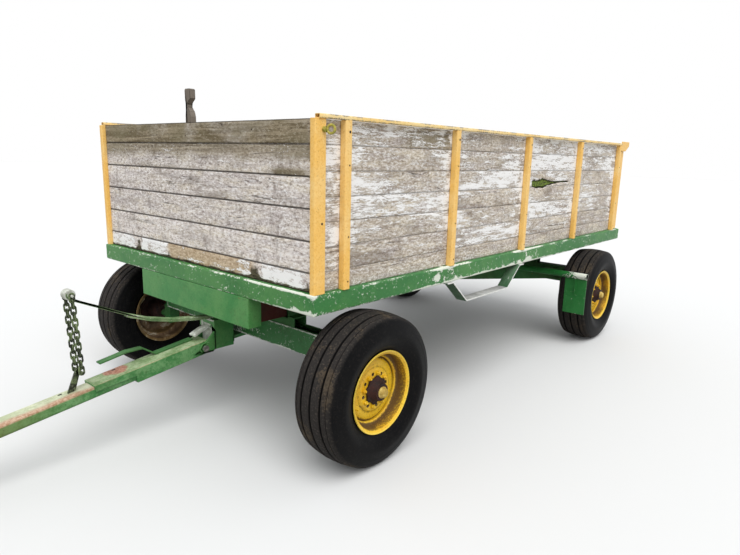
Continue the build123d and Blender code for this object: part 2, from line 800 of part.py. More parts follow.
guard_x = rear_axle_x + guard_ahead
guard_z = reach_bottom + hound_height + guard_pipe_radius
rib_front = guard_x + guard_plate_thickness / 2 + guard_rib_depth
with BuildPart() as guard_bar:
    with BuildSketch(side_plane(guard_half_length)):
        with Locations((guard_x, guard_z)):
            Circle(guard_pipe_radius)
    extrude(amount=2 * guard_half_length)
    for side in (1, -1):
        outer = side * guard_half_length
        inner = side * (guard_half_length - guard_plate_width)
        mid = (outer + inner) / 2
        box_between(
            (guard_x - guard_plate_thickness / 2, min(outer, inner), guard_z - guard_plate_height),
            (guard_x + guard_plate_thickness / 2, max(outer, inner), guard_z),
        )
        box_between(
            (guard_x, mid - guard_plate_thickness / 2, guard_z - guard_rib_length),
            (rib_front, mid + guard_plate_thickness / 2, guard_z),
        )
    with BuildSketch(side_plane(guard_half_length)):
        with Locations((guard_x, guard_z)):
            Circle(guard_pipe_radius - guard_pipe_wall)
    extrude(amount=2 * guard_half_length, mode=Mode.SUBTRACT)
save(guard_bar, "guard_bar")

# Step: one bent strap under the left side of the frame
step_mid_x = box_front - step_centre
step_top = frame_bottom - step_strap_thickness / 2
with BuildPart() as step:
    with BuildSketch(side_plane(half_frame + step_overhang)):
        outline(band([
            (step_mid_x - step_half_span, step_top), (step_mid_x - step_half_span + step_tab, step_top),
            (step_mid_x - step_half_tread, step_top - step_drop),
            (step_mid_x + step_half_tread, step_top - step_drop),
            (step_mid_x + step_half_span - step_tab, step_top), (step_mid_x + step_half_span, step_top),
        ], step_strap_thickness))
    extrude(amount=step_width)
save(step, "step")

# Wheels: tyre, rim and hub at each corner
wheels = [
    ("front_left", front_axle_x, 1),
    ("front_right", front_axle_x, -1),
    ("rear_left", rear_axle_x, 1),
    ("rear_right", rear_axle_x, -1),
]
half_tyre = tyre_width / 2
half_rim = rim_width / 2
bead_radius = rim_seat_radius + rim_sheet / 2 + seat_clearance
tread_edge = half_tyre - tread_edge_inset
tread_edge_radius = tyre_radius - tread_edge_drop
shoulder = half_tyre - shoulder_inset
shoulder_radius = tyre_radius - shoulder_drop
flank = half_rim - flank_inset
bead = half_rim - bead_inset
inner_shoulder = half_tyre - shoulder_drop - tyre_wall / 2
inner_radius = tyre_radius - shoulder_drop - tyre_wall / 2
for corner, axle_x, side in wheels:
    spin = Axis((axle_x, 0, tyre_radius), (0, 1, 0))

    def at(across, radius):
        """Sketch point from the distance outward of the wheel's middle and the radius."""
        return (side * (track / 2 + across), radius)

    with BuildPart() as tyre:
        with BuildSketch(wheel_plane(axle_x)):
            with BuildLine():
                ThreePointArc(
                    at(tread_edge, tread_edge_radius), at(0, tyre_radius),
                    at(-tread_edge, tread_edge_radius),
                )
                for way in (1, -1):
                    Line(at(way * tread_edge, tread_edge_radius), at(way * shoulder, shoulder_radius))
                    ThreePointArc(
                        at(way * shoulder, shoulder_radius), at(way * half_tyre, tyre_radius - bulge_drop),
                        at(way * flank, rim_lip_radius + flank_clearance),
                    )
                    Line(at(way * flank, rim_lip_radius + flank_clearance), at(way * bead, bead_radius))
                    Line(at(way * bead, bead_radius), at(way * (bead - tyre_wall), bead_radius))
                    Line(
                        at(way * (bead - tyre_wall), bead_radius),
                        at(way * (flank - tyre_wall), rim_lip_radius + 2 * flank_clearance),
                    )
                    ThreePointArc(
                        at(way * (flank - tyre_wall), rim_lip_radius + 2 * flank_clearance),
                        at(way * (half_tyre - tyre_wall), tyre_radius - bulge_drop),
                        at(way * inner_shoulder, inner_radius),
                    )
                ThreePointArc(
                    at(inner_shoulder, inner_radius), at(0, tyre_radius - tyre_wall - crown_extra),
                    at(-inner_shoulder, inner_radius),
                )
            make_face()
        revolve(axis=spin)
    save(tyre, f"tyre_{corner}")

    with BuildPart() as rim:
        with BuildSketch(wheel_plane(axle_x)):
            barrel = [
                (half_rim - 1, rim_lip_radius), (half_rim - rim_bead_inset, rim_seat_radius),
                (half_rim - rim_seat_inset, rim_seat_radius - rim_seat_fall),
                (half_rim - rim_well_inset, rim_well_radius),
            ]
            barrel += [(-across, radius) for across, radius in barrel[::-1]]
            outline([at(*p) for p in band(barrel, rim_sheet)])
            disc = [
                (disc_dish - disc_root_setback, rim_well_radius),
                (disc_dish - disc_face_setback, rim_well_radius - disc_bend_width),
                (disc_dish - disc_face_setback, hub_flange_radius + disc_ring_width),
                (disc_dish, hub_flange_radius + disc_ring_clearance), (disc_dish, hub_radius + 1),
            ]
            outline([at(*p) for p in band(disc, disc_sheet)])
        revolve(axis=spin)
    save(rim, f"rim_{corner}")

    flange_out = disc_dish - disc_sheet / 2
    with BuildPart() as hub:
        with BuildSketch(wheel_plane(axle_x)):
            outline([at(*p) for p in [
                (-hub_inner_reach, spindle_radius + running_clearance), (-hub_inner_reach, hub_radius),
                (flange_out - hub_flange_thickness, hub_radius),
                (flange_out - hub_flange_thickness, hub_flange_radius), (flange_out, hub_flange_radius),
                (flange_out, hub_radius), (disc_dish + disc_sheet, hub_radius),
                (hub_outer_reach, hub_nose_radius),
                (hub_outer_reach, hub_cap_radius),
                (hub_outer_reach + hub_cap_length, hub_cap_radius - hub_cap_taper),
                (hub_outer_reach + hub_cap_length, 0),
                (spindle_reach + spindle_end_gap, 0),
                (spindle_reach + spindle_end_gap, spindle_radius + running_clearance),
            ]])
        revolve(axis=spin)
    save(hub, f"hub_{corner}")

# Walls: boards, posts, stakes and rails
def stacked(heights):
    """Low and high of each board of a wall, standing on the deck with gaps between."""
    rows, low = [], frame_top
    share = (wall_height + board_gap - sum(heights) - board_gap * len(heights)) / len(heights)
    for height in heights:
        high = low + height + share
        rows.append((low, high))
        low = high + board_gap
    return rows


post_outer = half_frame - post_side_setback
post_inner = post_outer - post_width
post_back = box_front + post_proud - post_length
with BuildPart() as front_boards:
    for low, high in stacked(front_board_heights):
        box_between((box_front - board_thickness, -post_inner, low), (box_front, post_inner, high))
save(front_boards, "front_boards")

for name, side in (("left_boards", 1), ("right_boards", -1)):
    near, far = side * half_box, side * (half_box - board_thickness)
    with BuildPart() as boards:
        for low, high in stacked(side_board_heights):
            box_between((box_front - wall_end, min(near, far), low), (post_back, max(near, far), high))
    save(boards, name)

with BuildPart() as corner_posts:
    with BuildSketch(Plane.XY.offset(frame_top)):
        with Locations((post_back + post_length / 2, post_inner + post_width / 2)):
            RectangleRounded(post_length, post_width, post_round)
            Rectangle(post_length - 2 * post_wall, post_width - 2 * post_wall, mode=Mode.SUBTRACT)
    extrude(amount=wall_height)
    mirror(about=Plane.XZ)
save(corner_posts, "corner_posts")

stake_pitch = (box_length - stake_last_setback - stake_first) / (stake_count - 1)
stake_hollow = (stake_length - 2 * stake_wall, stake_width - 2 * stake_wall)
for name, side in (("left_stakes", 1), ("right_stakes", -1)):
    with BuildPart() as stakes:
        with BuildSketch(Plane.XY.offset(frame_top)):
            for i in range(stake_count):
                stake_mid = box_front - stake_first - i * stake_pitch - stake_length / 2
                with Locations((stake_mid, side * (half_box + stake_width / 2))):
                    Rectangle(stake_length, stake_width)
                    Rectangle(*stake_hollow, mode=Mode.SUBTRACT)
        extrude(amount=wall_height)
    save(stakes, name)

rail_front = box_front + rail_inset
for name, side in (("left_rail", 1), ("right_rail", -1)):
    rail_mid = side * (half_box + stake_width - rail_width / 2)
    with BuildPart() as rail:
        with BuildSketch(Plane.YZ.offset(box_front - wall_end)):
            with Locations((rail_mid, wall_top + rail_height / 2)):
                Rectangle(rail_width, rail_height)
                Rectangle(rail_width - 2 * rail_wall, rail_height - 2 * rail_wall, mode=Mode.SUBTRACT)
        extrude(amount=rail_front - box_front + wall_end)
    save(rail, name)

# Wooden middle post inside the front wall, worn to a notch under its head
head_low = wall_top + centre_post_rise - centre_post_head
head_high = wall_top + centre_post_rise
post_left = centre_post_offset + centre_post_width / 2
post_right = centre_post_offset - centre_post_width / 2
worn_edge = list(zip(centre_post_worn_in, centre_post_worn_down))
plain_edge = list(zip(centre_post_plain_in, centre_post_plain_down))
with BuildPart() as centre_post:
    with BuildSketch(Plane.YZ.offset(box_front - board_thickness - centre_post_depth)):
        outline(
            [(post_right, frame_top), (post_left, frame_top)]
            + [(post_left - into, head_low - down) for into, down in worn_edge]
            + [(post_left, head_high - centre_post_corner), (post_left - centre_post_corner, head_high)]
            + [(post_right + centre_post_corner, head_high), (post_right, head_high - centre_post_corner)]
            + [(post_right + into, head_low - down) for into, down in plain_edge]
        )
    extrude(amount=centre_post_depth)
save(centre_post, "centre_post")

# Rope eyes on the front posts: a nut against the post and a ring standing out from it
eye_bolt_x = post_back + eye_nut_radius + 1
eye_ring_reach = eye_nut_height + eye_ring_radius + eye_wire_radius - eye_ring_sink
ring_along = Vector(0, 1, 0).rotate(Axis.Z, eye_ring_turn)
ring_axis = Vector(1, 0, 0).rotate(Axis.Z, eye_ring_turn)
with BuildPart() as rope_eyes:
    with BuildSketch(outward_plane(eye_bolt_x, post_outer, eye_ring_height, 1)):
        RegularPolygon(eye_nut_radius, 6)
    extrude(amount=eye_nut_height)
    ring_centre = Vector(eye_bolt_x, post_outer, eye_ring_height) + ring_along * eye_ring_reach
    with BuildSketch(Plane(origin=ring_centre, x_dir=ring_along, z_dir=(0, 0, 1))):
        with Locations((eye_ring_radius, 0)):
            Circle(eye_wire_radius)
    revolve(axis=Axis(ring_centre, ring_axis))
    mirror(about=Plane.XZ)
save(rope_eyes, "rope_eyes")

# Tailgate: end posts, cross bars and boards, hung from ears at the top
gate_x1 = box_front - box_length + gate_setback
gate_x0 = gate_x1 - gate_depth
gate_bottom = frame_top + gate_sill_gap
ear_outer = half_box + stake_width
gate_outer = ear_outer - gate_ear_thickness - gate_side_gap
gate_inner = gate_outer - gate_post_width
gate_pin_x = box_front - box_length + gate_pin_setback
with BuildPart() as gate_frame:
    with BuildSketch(Plane.XY.offset(gate_bottom)):
        for side in (1, -1):
            with Locations(((gate_x0 + gate_x1) / 2, side * (gate_inner + gate_outer) / 2)):
                Rectangle(gate_depth, gate_post_width)
                Rectangle(gate_depth - 2 * gate_wall, gate_post_width - 2 * gate_wall, mode=Mode.SUBTRACT)
    extrude(amount=gate_top - gate_bottom)
    for low in (gate_bottom, (gate_bottom + gate_top) / 2, gate_top - gate_bar_height):
        box_between((gate_x0, -gate_inner, low), (gate_x0 + gate_wall, gate_inner, low + gate_bar_height))
    with BuildSketch(side_plane(gate_outer)):
        with Locations((gate_pin_x, gate_pin_height)):
            Circle(gate_pin_radius + running_clearance)
    extrude(amount=2 * gate_outer, mode=Mode.SUBTRACT)
save(gate_frame, "gate_frame")

with BuildPart() as gate_boards:
    for low, high in stacked(front_board_heights):
        box_between(
            (gate_x0 + gate_wall, -gate_inner, max(low, gate_bottom)),
            (gate_x0 + gate_wall + board_thickness, gate_inner, high),
        )
save(gate_boards, "gate_boards")

ear_front_x = box_front - box_length + stake_last_setback - stake_length
ear_back_x = box_front - box_length - gate_ear_overhang
ear_bottom = gate_ear_top - gate_ear_height
with BuildPart() as gate_ears:
    with BuildSketch(side_plane(ear_outer)):
        outline([
            (ear_front_x, ear_bottom), (ear_front_x, gate_ear_top), (ear_back_x, gate_ear_top),
            (ear_back_x, gate_ear_top - gate_ear_tail), (gate_pin_x - gate_ear_heel, ear_bottom),
        ])
    extrude(amount=gate_ear_thickness)
    with BuildSketch(side_plane(ear_outer)):
        with Locations((gate_pin_x, gate_pin_height)):
            Circle(gate_pin_radius)
    extrude(amount=gate_ear_thickness + gate_side_gap + gate_post_width)
    mirror(about=Plane.XZ)
save(gate_ears, "gate_ears")
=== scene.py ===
import math

import bmesh
import bpy
import numpy as np
from mathutils import Matrix, Vector


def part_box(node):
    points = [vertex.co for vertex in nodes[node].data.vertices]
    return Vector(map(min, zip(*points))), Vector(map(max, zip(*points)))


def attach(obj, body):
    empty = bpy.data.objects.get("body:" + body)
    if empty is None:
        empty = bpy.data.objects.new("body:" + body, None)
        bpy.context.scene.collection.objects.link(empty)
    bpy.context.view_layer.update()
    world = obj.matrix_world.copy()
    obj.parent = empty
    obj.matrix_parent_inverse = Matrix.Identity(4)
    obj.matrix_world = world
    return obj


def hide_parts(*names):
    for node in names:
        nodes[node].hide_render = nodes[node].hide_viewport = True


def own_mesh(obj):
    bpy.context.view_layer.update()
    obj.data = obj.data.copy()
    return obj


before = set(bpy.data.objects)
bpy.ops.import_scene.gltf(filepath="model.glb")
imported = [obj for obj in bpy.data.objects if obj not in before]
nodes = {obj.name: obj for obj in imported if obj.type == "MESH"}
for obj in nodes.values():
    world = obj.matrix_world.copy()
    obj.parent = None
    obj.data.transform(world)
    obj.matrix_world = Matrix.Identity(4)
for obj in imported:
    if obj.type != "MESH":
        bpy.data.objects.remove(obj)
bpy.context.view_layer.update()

# Photograph's camera, in the wagon's frame
CAMERA_PLACE = (2.76844, 2.77233, 1.50261)
CAMERA_YAW = math.radians(-139.08)
CAMERA_PITCH = math.radians(-11.90)
CAMERA_ROLL = math.radians(1.45)
CAMERA_LENS = 27.896
SENSOR_WIDTH = 36.0

X, Y, Z = np.eye(3)
MILLI = 0.001
WHEELS = {"front_left": 1, "front_right": -1, "rear_left": 1, "rear_right": -1}


def corners(node):
    """Lowest and highest corner of a CAD node."""
    return np.array(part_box(node))


# Noise for worn shapes


def lattice_value(cell, seed):
    """Even random number from 0 to 1 for each whole cell, made by mixing its three indexes."""
    mixed = cell[..., 0] * 73856093 ^ cell[..., 1] * 19349663
    mixed = mixed ^ cell[..., 2] * 83492791 ^ (seed * 9176 + 77)
    mixed = (mixed & 0xFFFFFFF) * 1274126177
    mixed = (mixed ^ (mixed >> 15)) * 40503
    return ((mixed >> 7) & 0xFFFFF) / 0xFFFFF


def smooth_noise(points, seed=0):
    """Random numbers at whole cells, joined by smooth steps along each axis."""
    cell = np.floor(points).astype(np.int64)
    part = points - cell
    part = part * part * (3 - 2 * part)
    total = np.zeros(points.shape[:-1])
    for corner in range(8):
        step = np.array([corner & 1, corner >> 1 & 1, corner >> 2 & 1])
        total += np.prod(np.where(step, part, 1 - part), -1) * lattice_value(cell + step, seed)
    return total


def layered_noise(points, seed=0, layers=3):
    """Sum of smooth noises, each twice as fine and half as strong, scaled to 0 to 1."""
    shares = 0.5 ** np.arange(layers)
    total = sum(smooth_noise(points / share, seed + i) * share for i, share in enumerate(shares))
    return total / shares.sum()


def ragged(grid, size, seed):
    """Noise from -0.5 to 0.5 over a surface, in lumps of the given size."""
    return layered_noise(grid / size, seed) - 0.5


# Meshes from grids of points


def seam_values(values, count):
    """Distances at count rows and at the seam after the last; even shares of 1 where none are given."""
    values = np.arange(count + 1) / count if values is None else np.asarray(values, float)
    return values if len(values) > count else np.append(values, values[-1])


def riding_piece(mesh, name, body, material, replaces, smooth):
    """Puts a mesh in the scene smooth with sharp edges, riding on a body for the CAD nodes it replaces."""
    mesh.shade_smooth()
    mesh.set_sharp_from_angle(angle=math.radians(smooth))
    mesh.materials.append(material)
    piece = bpy.data.objects.new(name, mesh)
    bpy.context.scene.collection.objects.link(piece)
    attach(piece, body)
    if replaces:
        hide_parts(*replaces)
    return piece


class Skin:
    """Collects grids of points, joins neighbours by quads and makes one mesh of them all."""

    def __init__(self):
        self.points, self.quads, self.uvs, self.marks = [], [], [], {}
        self.count = 0

    def add(self, grid, around=True, along=False, lengths=None, girth=None, **marks):
        """Rows run along the piece and columns around it; lengths and girth give the UV map in metres."""
        rows, cols = grid.shape[:2]
        row = np.arange(rows if along else rows - 1)[:, None]
        col = np.arange(cols if around else cols - 1)[None, :]
        lengths, girth = seam_values(lengths, rows), seam_values(girth, cols)
        quads, uv = [], []
        for a, b in ((0, 0), (0, 1), (1, 1), (1, 0)):
            quads.append((row + a) % rows * cols + (col + b) % cols)
            uv.append(np.stack(np.broadcast_arrays(lengths[row + a], girth[col + b]), -1))
        self.quads.append(np.stack(quads, -1).reshape(-1, 4) + self.count)
        self.uvs.append(np.stack(uv, -2).reshape(-1, 2))
        for key in dict.fromkeys([*self.marks, *marks]):
            values = np.broadcast_to(np.asarray(marks.get(key, 0.0), float), (rows, cols))
            self.marks.setdefault(key, [np.zeros(self.count)]).append(values.ravel())
        self.points.append(grid.reshape(-1, 3))
        self.count += rows * cols

    def make(self, name, body, material, replaces=(), smooth=40):
        """Builds the mesh, merges doubled points, points its faces outwards and lets it ride on its body."""
        points, quads = np.concatenate(self.points), np.concatenate(self.quads)
        mesh = bpy.data.meshes.new(name)
        mesh.vertices.add(len(points))
        mesh.vertices.foreach_set("co", points.ravel())
        mesh.loops.add(quads.size)
        mesh.loops.foreach_set("vertex_index", quads.ravel().astype(np.int32))
        mesh.polygons.add(len(quads))
        mesh.polygons.foreach_set("loop_start", np.arange(0, quads.size, 4, dtype=np.int32))
        mesh.update(calc_edges=True)
        mesh.uv_layers.new(name="run").data.foreach_set("uv", np.concatenate(self.uvs).ravel())
        for key, values in self.marks.items():
            mesh.attributes.new(key, "FLOAT", "POINT").data.foreach_set("value", np.concatenate(values))
        work = bmesh.new()
        work.from_mesh(mesh)
        bmesh.ops.remove_doubles(work, verts=work.verts, dist=2e-6)
        bmesh.ops.dissolve_degenerate(work, edges=work.edges, dist=1e-7)
        bmesh.ops.recalc_face_normals(work, faces=work.faces)
        work.to_mesh(mesh)
        work.free()
        return riding_piece(mesh, name, body, material, replaces, smooth)


def round_length(points):
    """Distance round a closed line of points, from its first point to each point and back to the first."""
    return np.append(0, np.cumsum(np.linalg.norm(np.roll(points, -1, 0) - points, axis=1)))


def rounded_section(width, height, corner, steps=3, face_points=1):
    """Rectangle with quarter-circle corners, anticlockwise, with points along its faces.
    Returns the points, the distance round the section, and each point's distance from the nearest corner."""
    half = np.array([width / 2 - corner, height / 2 - corner])
    centres = half * np.array([(1, 1), (-1, 1), (-1, -1), (1, -1)])
    angle = math.pi / 2 * (np.arange(4)[:, None] + np.arange(steps + 1) / steps)
    arcs = centres[:, None] + corner * np.stack([np.cos(angle), np.sin(angle)], -1)
    start, end = arcs[:, -1:], np.roll(arcs, -1, 0)[:, :1]
    share = np.arange(1, face_points + 1)[:, None] / (face_points + 1)
    points = np.concatenate([arcs, start + (end - start) * share], 1).reshape(-1, 2)
    inward = np.linalg.norm(end - start, axis=-1) * np.minimum(share, 1 - share).T
    edge = np.concatenate([np.zeros((4, steps + 1)), inward], 1).ravel()
    return points, round_length(points), edge


def placed(flat, directions, middle, steps):
    """Flat sections of (across, up) points carried to their steps along the direction through the middle."""
    direction, across, up = directions
    centres = np.asarray(middle, float) + steps[:, None] * direction
    return centres[:, None] + flat[..., 0, None] * across + flat[..., 1, None] * up


def tube(skin, width, height, corner, wall, directions, middle, start, end, count, steps=3):
    """Open tube: out along the rounded outer section and back along the inner one, which closes both ends."""
    points, girth, edge = rounded_section(width, height, corner, steps)
    inner = points * (1 - 2 * wall / np.array([width, height]))
    lip = 0.0008
    runs = np.concatenate([[start, start + lip], np.linspace(start, end, count)[1:-1], [end - lip, end]])
    flat = np.repeat(points[None], len(runs), 0)
    flat[[0, -1]] += (inner - points) * 0.2
    flat = np.concatenate([flat, [inner, inner]])
    near_end = np.minimum(runs - start, end - runs)
    wear = np.minimum(edge[None, :], near_end[:, None])
    wear = np.concatenate([wear, np.full((2, len(points)), 0.05)])
    lengths = np.concatenate([runs, [end + 0.01, start - 0.01, start]])
    grid = placed(flat, directions, middle, np.append(runs, [end, start]))
    skin.add(grid, along=True, lengths=lengths, girth=girth, edge=wear)


def lathe(skin, profile, centre, axis, start, count=96, closed=False, radius_of=None, **marks):
    """Surface of revolution: each (along, radius) of the profile turns round the axis from the start.
    A closed profile returns to its first point; radius_of may change the radius with the turn."""
    profile = np.asarray(profile, float)
    turn = np.arange(count) / count * 2 * math.pi
    radius = np.broadcast_to(profile[None, :, 1], (count, len(profile)))
    if radius_of is not None:
        radius = radius_of(turn[:, None], radius)
    spoke = np.cos(turn)[:, None] * start + np.sin(turn)[:, None] * np.cross(axis, start)
    grid = centre + profile[None, :, 0, None] * axis + radius[..., None] * spoke[:, None, :]
    skin.add(grid, around=closed, along=True, lengths=np.arange(count + 1) / count,
             girth=round_length(profile), radius=profile[None, :, 1], **marks)


def hexagon(turn, radius):
    """Radius of a hexagon whose corners are cut back to a circle."""
    sixth = math.pi / 3
    flat = radius * math.cos(sixth / 2) / np.cos((turn + sixth / 2) % sixth - sixth / 2)
    return np.minimum(flat, radius * 0.985)


def wheel_nut(skin, centre, axis, turn):
    """Hexagon nut with chamfered corners on its seat, with the end of its stud above it."""
    lead = Z * math.cos(turn) + np.cross(axis, Z) * math.sin(turn)
    r, height, stud, stud_end = 0.0115, 0.012, 0.006, 0.019
    lathe(skin, [(0, 0), (0, r), (height * 0.8, r), (height, r * 0.82), (height, 0)], centre, axis, lead, 24,
          radius_of=hexagon)
    lathe(skin, [(height / 2, 0), (height / 2, stud), (stud_end - 0.0015, stud), (stud_end, stud * 0.8),
                 (stud_end, 0)], centre, axis, lead, 16)


def dome(skin, centre, axis, radius, height):
    """Low round head of a nail or bolt in an upright face: a quarter ellipse turned round its axis."""
    angle = np.linspace(0, math.pi / 2, 5)
    profile = [(0, 0)] + [(height * math.sin(a), radius * math.cos(a)) for a in angle]
    lathe(skin, profile, centre, axis, Z, 12)


# Worn copies of CAD shapes


def flat_regions(work):
    """Groups of neighbouring faces that lie in one plane and end at sharp edges all round."""
    for face in work.faces:
        face.tag = False
    regions = []
    for seed in work.faces:
        if seed.tag:
            continue
        seed.tag = True
        region, queue = [seed], [seed]
        while queue:
            for other in (face for edge in queue.pop().edges for face in edge.link_faces):
                if not other.tag and other.normal.dot(seed.normal) > 0.99995:
                    other.tag = True
                    region.append(other)
                    queue.append(other)
        inside = set(region)
        rim = [e for f in region for e in f.edges if not all(other in inside for other in e.link_faces)]
        if all(e.calc_face_angle(0.0) > math.radians(24) for e in rim):
            regions.append((region, sum(e.calc_length() for e in rim)))
    return regions


def mark_faces(faces, layer, value_of):
    """Sets the mark of every corner of the faces."""
    for loop in (loop for face in faces for loop in face.loops):
        loop[layer] = value_of(loop.vert)


def worn_copy(name, source, body, slot_name, material, bevel=0.0016, inset=0.010, patches=()):
    """Copy of a CAD node with merged points and joined flats. Each flat gets a border of its own, so that the
    distance from its rim can be marked for paint wear, and a small bevel rounds the edges. Patches are pairs of
    a material and a test of a face's middle and direction."""
    work = bmesh.new()
    work.from_mesh(nodes[source].data)
    bmesh.ops.remove_doubles(work, verts=work.verts, dist=2e-5)
    bmesh.ops.dissolve_limit(work, angle_limit=math.radians(0.6), verts=work.verts, edges=work.edges)
    layer = work.loops.layers.float.new("edge")
    mark_faces(work.faces, layer, lambda vert: 0.02)
    for region, rim_length in flat_regions(work):
        depth = min(inset, 0.84 * sum(f.calc_area() for f in region) / max(rim_length, 1e-9))
        border = bmesh.ops.inset_region(work, faces=region, thickness=depth, use_boundary=True,
                                        use_even_offset=True)["faces"]
        inner = {v for f in region for v in f.verts}
        mark_faces(border, layer, lambda vert: depth if vert in inner else 0.0)
        mark_faces(region, layer, lambda vert: depth)
    mesh = bpy.data.meshes.new(name)
    work.to_mesh(mesh)
    work.free()
    piece = riding_piece(mesh, name, body, material, [source], 35)
    for index, (patch, inside) in enumerate(patches, 1):
        mesh.materials.append(patch)
        for polygon in mesh.polygons:
            if inside(polygon.center, polygon.normal):
                polygon.material_index = index
    if bevel:
        edge_round = piece.modifiers.new("edges", "BEVEL")
        edge_round.width = bevel
        edge_round.segments = 2 if bevel < 0.004 else 4
        edge_round.limit_method = "ANGLE"
        edge_round.angle_limit = math.radians(35)


# Shader building


def shade(code):
    """Linear colour from a #RRGGBB code."""
    parts = [int(code[i:i + 2], 16) / 255 for i in (1, 3, 5)]
    return (*[c / 12.92 if c <= 0.04045 else ((c + 0.055) / 1.055) ** 2.4 for c in parts], 1.0)


class Signal:
    """Output of a shader node; sums, differences and products with signals or numbers add Math nodes."""

    def __init__(self, tree_nodes, socket):
        self.tree_nodes, self.socket = tree_nodes, socket

    def __add__(self, other):
        return self.tree_nodes.math("ADD", self, other)

    def __sub__(self, other):
        return self.tree_nodes.math("SUBTRACT", self, other)

    def __mul__(self, other):
        return self.tree_nodes.math("MULTIPLY", self, other)


class Nodes:
    """Puts nodes into one tree; an input takes a signal, a number, a vector or a colour code."""

    def __init__(self, tree):
        self.tree = tree

    def put(self, kind, inputs=None, **settings):
        node = self.tree.nodes.new(kind)
        for key, value in settings.items():
            setattr(node, key, value)
        for key, value in (inputs or {}).items():
            self.feed(node.inputs[key], value)
        return node

    def feed(self, socket, value):
        if isinstance(value, Signal):
            self.tree.links.new(value.socket, socket)
        else:
            socket.default_value = shade(value) if isinstance(value, str) else value

    def out(self, kind, inputs=None, output=0, **settings):
        return Signal(self, self.put(kind, inputs, **settings).outputs[output])

    def math(self, operation, a, b=0.0, clamp=False):
        return self.out("ShaderNodeMath", {0: a, 1: b}, operation=operation, use_clamp=clamp)

    def blend(self, factor, a, b):
        return self.out("ShaderNodeMix", {0: factor, 2: a, 3: b}, data_type="FLOAT")

    def mix(self, factor, a, b):
        return self.out("ShaderNodeMix", {0: factor, 6: a, 7: b}, 2, data_type="RGBA")

    def step(self, value, start, end, low=0.0, high=1.0):
        """Smooth step of a value between two bounds."""
        inputs = {0: value, 1: start, 2: end, 3: low, 4: high}
        return self.out("ShaderNodeMapRange", inputs, interpolation_type="SMOOTHSTEP")

    def coats(self, base, *rows):
        """Lays colours over the base in turn: value, start and end of its step, colour, greatest share."""
        for value, start, end, colour, most in rows:
            base = self.mix(self.step(value, start, end, 0.0, most), base, colour)
        return base

    def noise(self, place, scale, detail=3.0, rough=0.55, bend=0.0, shift=None):
        """Noise from 0 to 1; a scale of three numbers stretches it and a shift moves it."""
        stretch, scale = (scale, 1.0) if isinstance(scale, tuple) else ((1, 1, 1), scale)
        if shift or stretch != (1, 1, 1):
            inputs = {"Vector": place, "Scale": stretch, "Location": shift or (0, 0, 0)}
            place = self.out("ShaderNodeMapping", inputs)
        inputs = {"Vector": place, "Scale": scale, "Detail": detail, "Roughness": rough, "Distortion": bend}
        return self.out("ShaderNodeTexNoise", inputs)

    def place(self):
        return self.out("ShaderNodeTexCoord", output="Object")

    def parts(self, vector):
        split = self.put("ShaderNodeSeparateXYZ", {0: vector})
        return [Signal(self, socket) for socket in split.outputs]

    def join(self, x, y, z):
        return self.out("ShaderNodeCombineXYZ", {0: x, 1: y, 2: z})

    def run(self):
        return self.parts(self.out("ShaderNodeUVMap", uv_map="run"))

    def mark(self, name):
        return self.out("ShaderNodeAttribute", output="Fac", attribute_name=name)

    def group(self, tree, *inputs):
        """Places a node group, feeds its inputs in order and returns its outputs."""
        node = self.put("ShaderNodeGroup", node_tree=tree)
        for socket, value in zip(node.inputs, inputs):
            self.feed(socket, value)
        return [Signal(self, socket) for socket in node.outputs]


def shader_group(name, inputs, outputs, build):
    """Node group with named sockets, vectors for Place and Grain and values for the rest, filled by build."""
    tree = bpy.data.node_groups.new(name, "ShaderNodeTree")
    for way, names in (("INPUT", inputs), ("OUTPUT", outputs)):
        for socket_name in names:
            kind = "NodeSocketVector" if socket_name in ("Place", "Grain") else "NodeSocketFloat"
            tree.interface.new_socket(socket_name, in_out=way, socket_type=kind)
    n = Nodes(tree)
    source, sink = n.put("NodeGroupInput"), n.put("NodeGroupOutput")
    results = build(n, *[Signal(n, source.outputs[key]) for key in inputs])
    for key, value in zip(outputs, results):
        n.feed(sink.inputs[key], value)
    return tree


def grain(n, place):
    """Weathered wood: fine fibres, broad streaks and thin checks along X of the given place, in metres."""
    fibre = n.noise(place, (14, 420, 1), 4.0, 0.65, 0.3)
    streak = n.noise(place, (2.2, 46, 1), 4.0, 0.6, 0.6, (3, 1, 0))
    line = n.math("ABSOLUTE", n.noise(place, (1.1, 34, 1), 3.0, 0.5, 0.8, (7, 5, 0)) - 0.5)
    where = n.step(n.noise(place, (1.7, 9, 1), 2.0, shift=(1, 9, 0)), 0.5, 0.62)
    check = n.step(line, 0.012, 0.003) * where
    return fibre, streak, check, fibre * 0.5 + streak - check


def flakes(n, place, cut, cover):
    """Old paint left in flakes: streaks along X with ragged ends, broken by the grain. Cover is the share left
    and cut is how finely the flakes are cut along and across."""
    place = n.out("ShaderNodeVectorMath", {0: place, 1: cut}, operation="MULTIPLY")
    level = n.noise(place, (0.5, 0.34, 1), 2.0, 0.5, 0.3) * 0.55
    level = level + n.noise(place, 1.0, 4.0, 0.68, 0.5, (6, 2, 0)) * 0.85
    level = level + n.noise(place, (4.6, 2.9, 1), 4.0, 0.75, 0.3, (2, 4, 0)) * 0.75
    level = level - 1.075 + (cover - 0.5)
    return n.step(level, -0.02, 0.03), n.step(level, -0.09, -0.02) * n.step(level, 0.03, -0.01)


def edge_chips(n, place, edge, reach, amount):
    """Paint chipped off near edges: noise against the distance from the edge; amount is how much goes."""
    near = n.math("SUBTRACT", 1.0, n.math("DIVIDE", edge, reach), clamp=True)
    level = n.noise(place, 6.0, 3.0, 0.6) * 0.8 + n.noise(place, 85.0, 4.0, 0.72, 0.4) * 0.8
    level = level + near * 0.34 + (amount - 1.64)
    return n.step(level, -0.01, 0.02), n.step(level, -0.06, -0.012) * n.step(level, 0.02, -0.01)


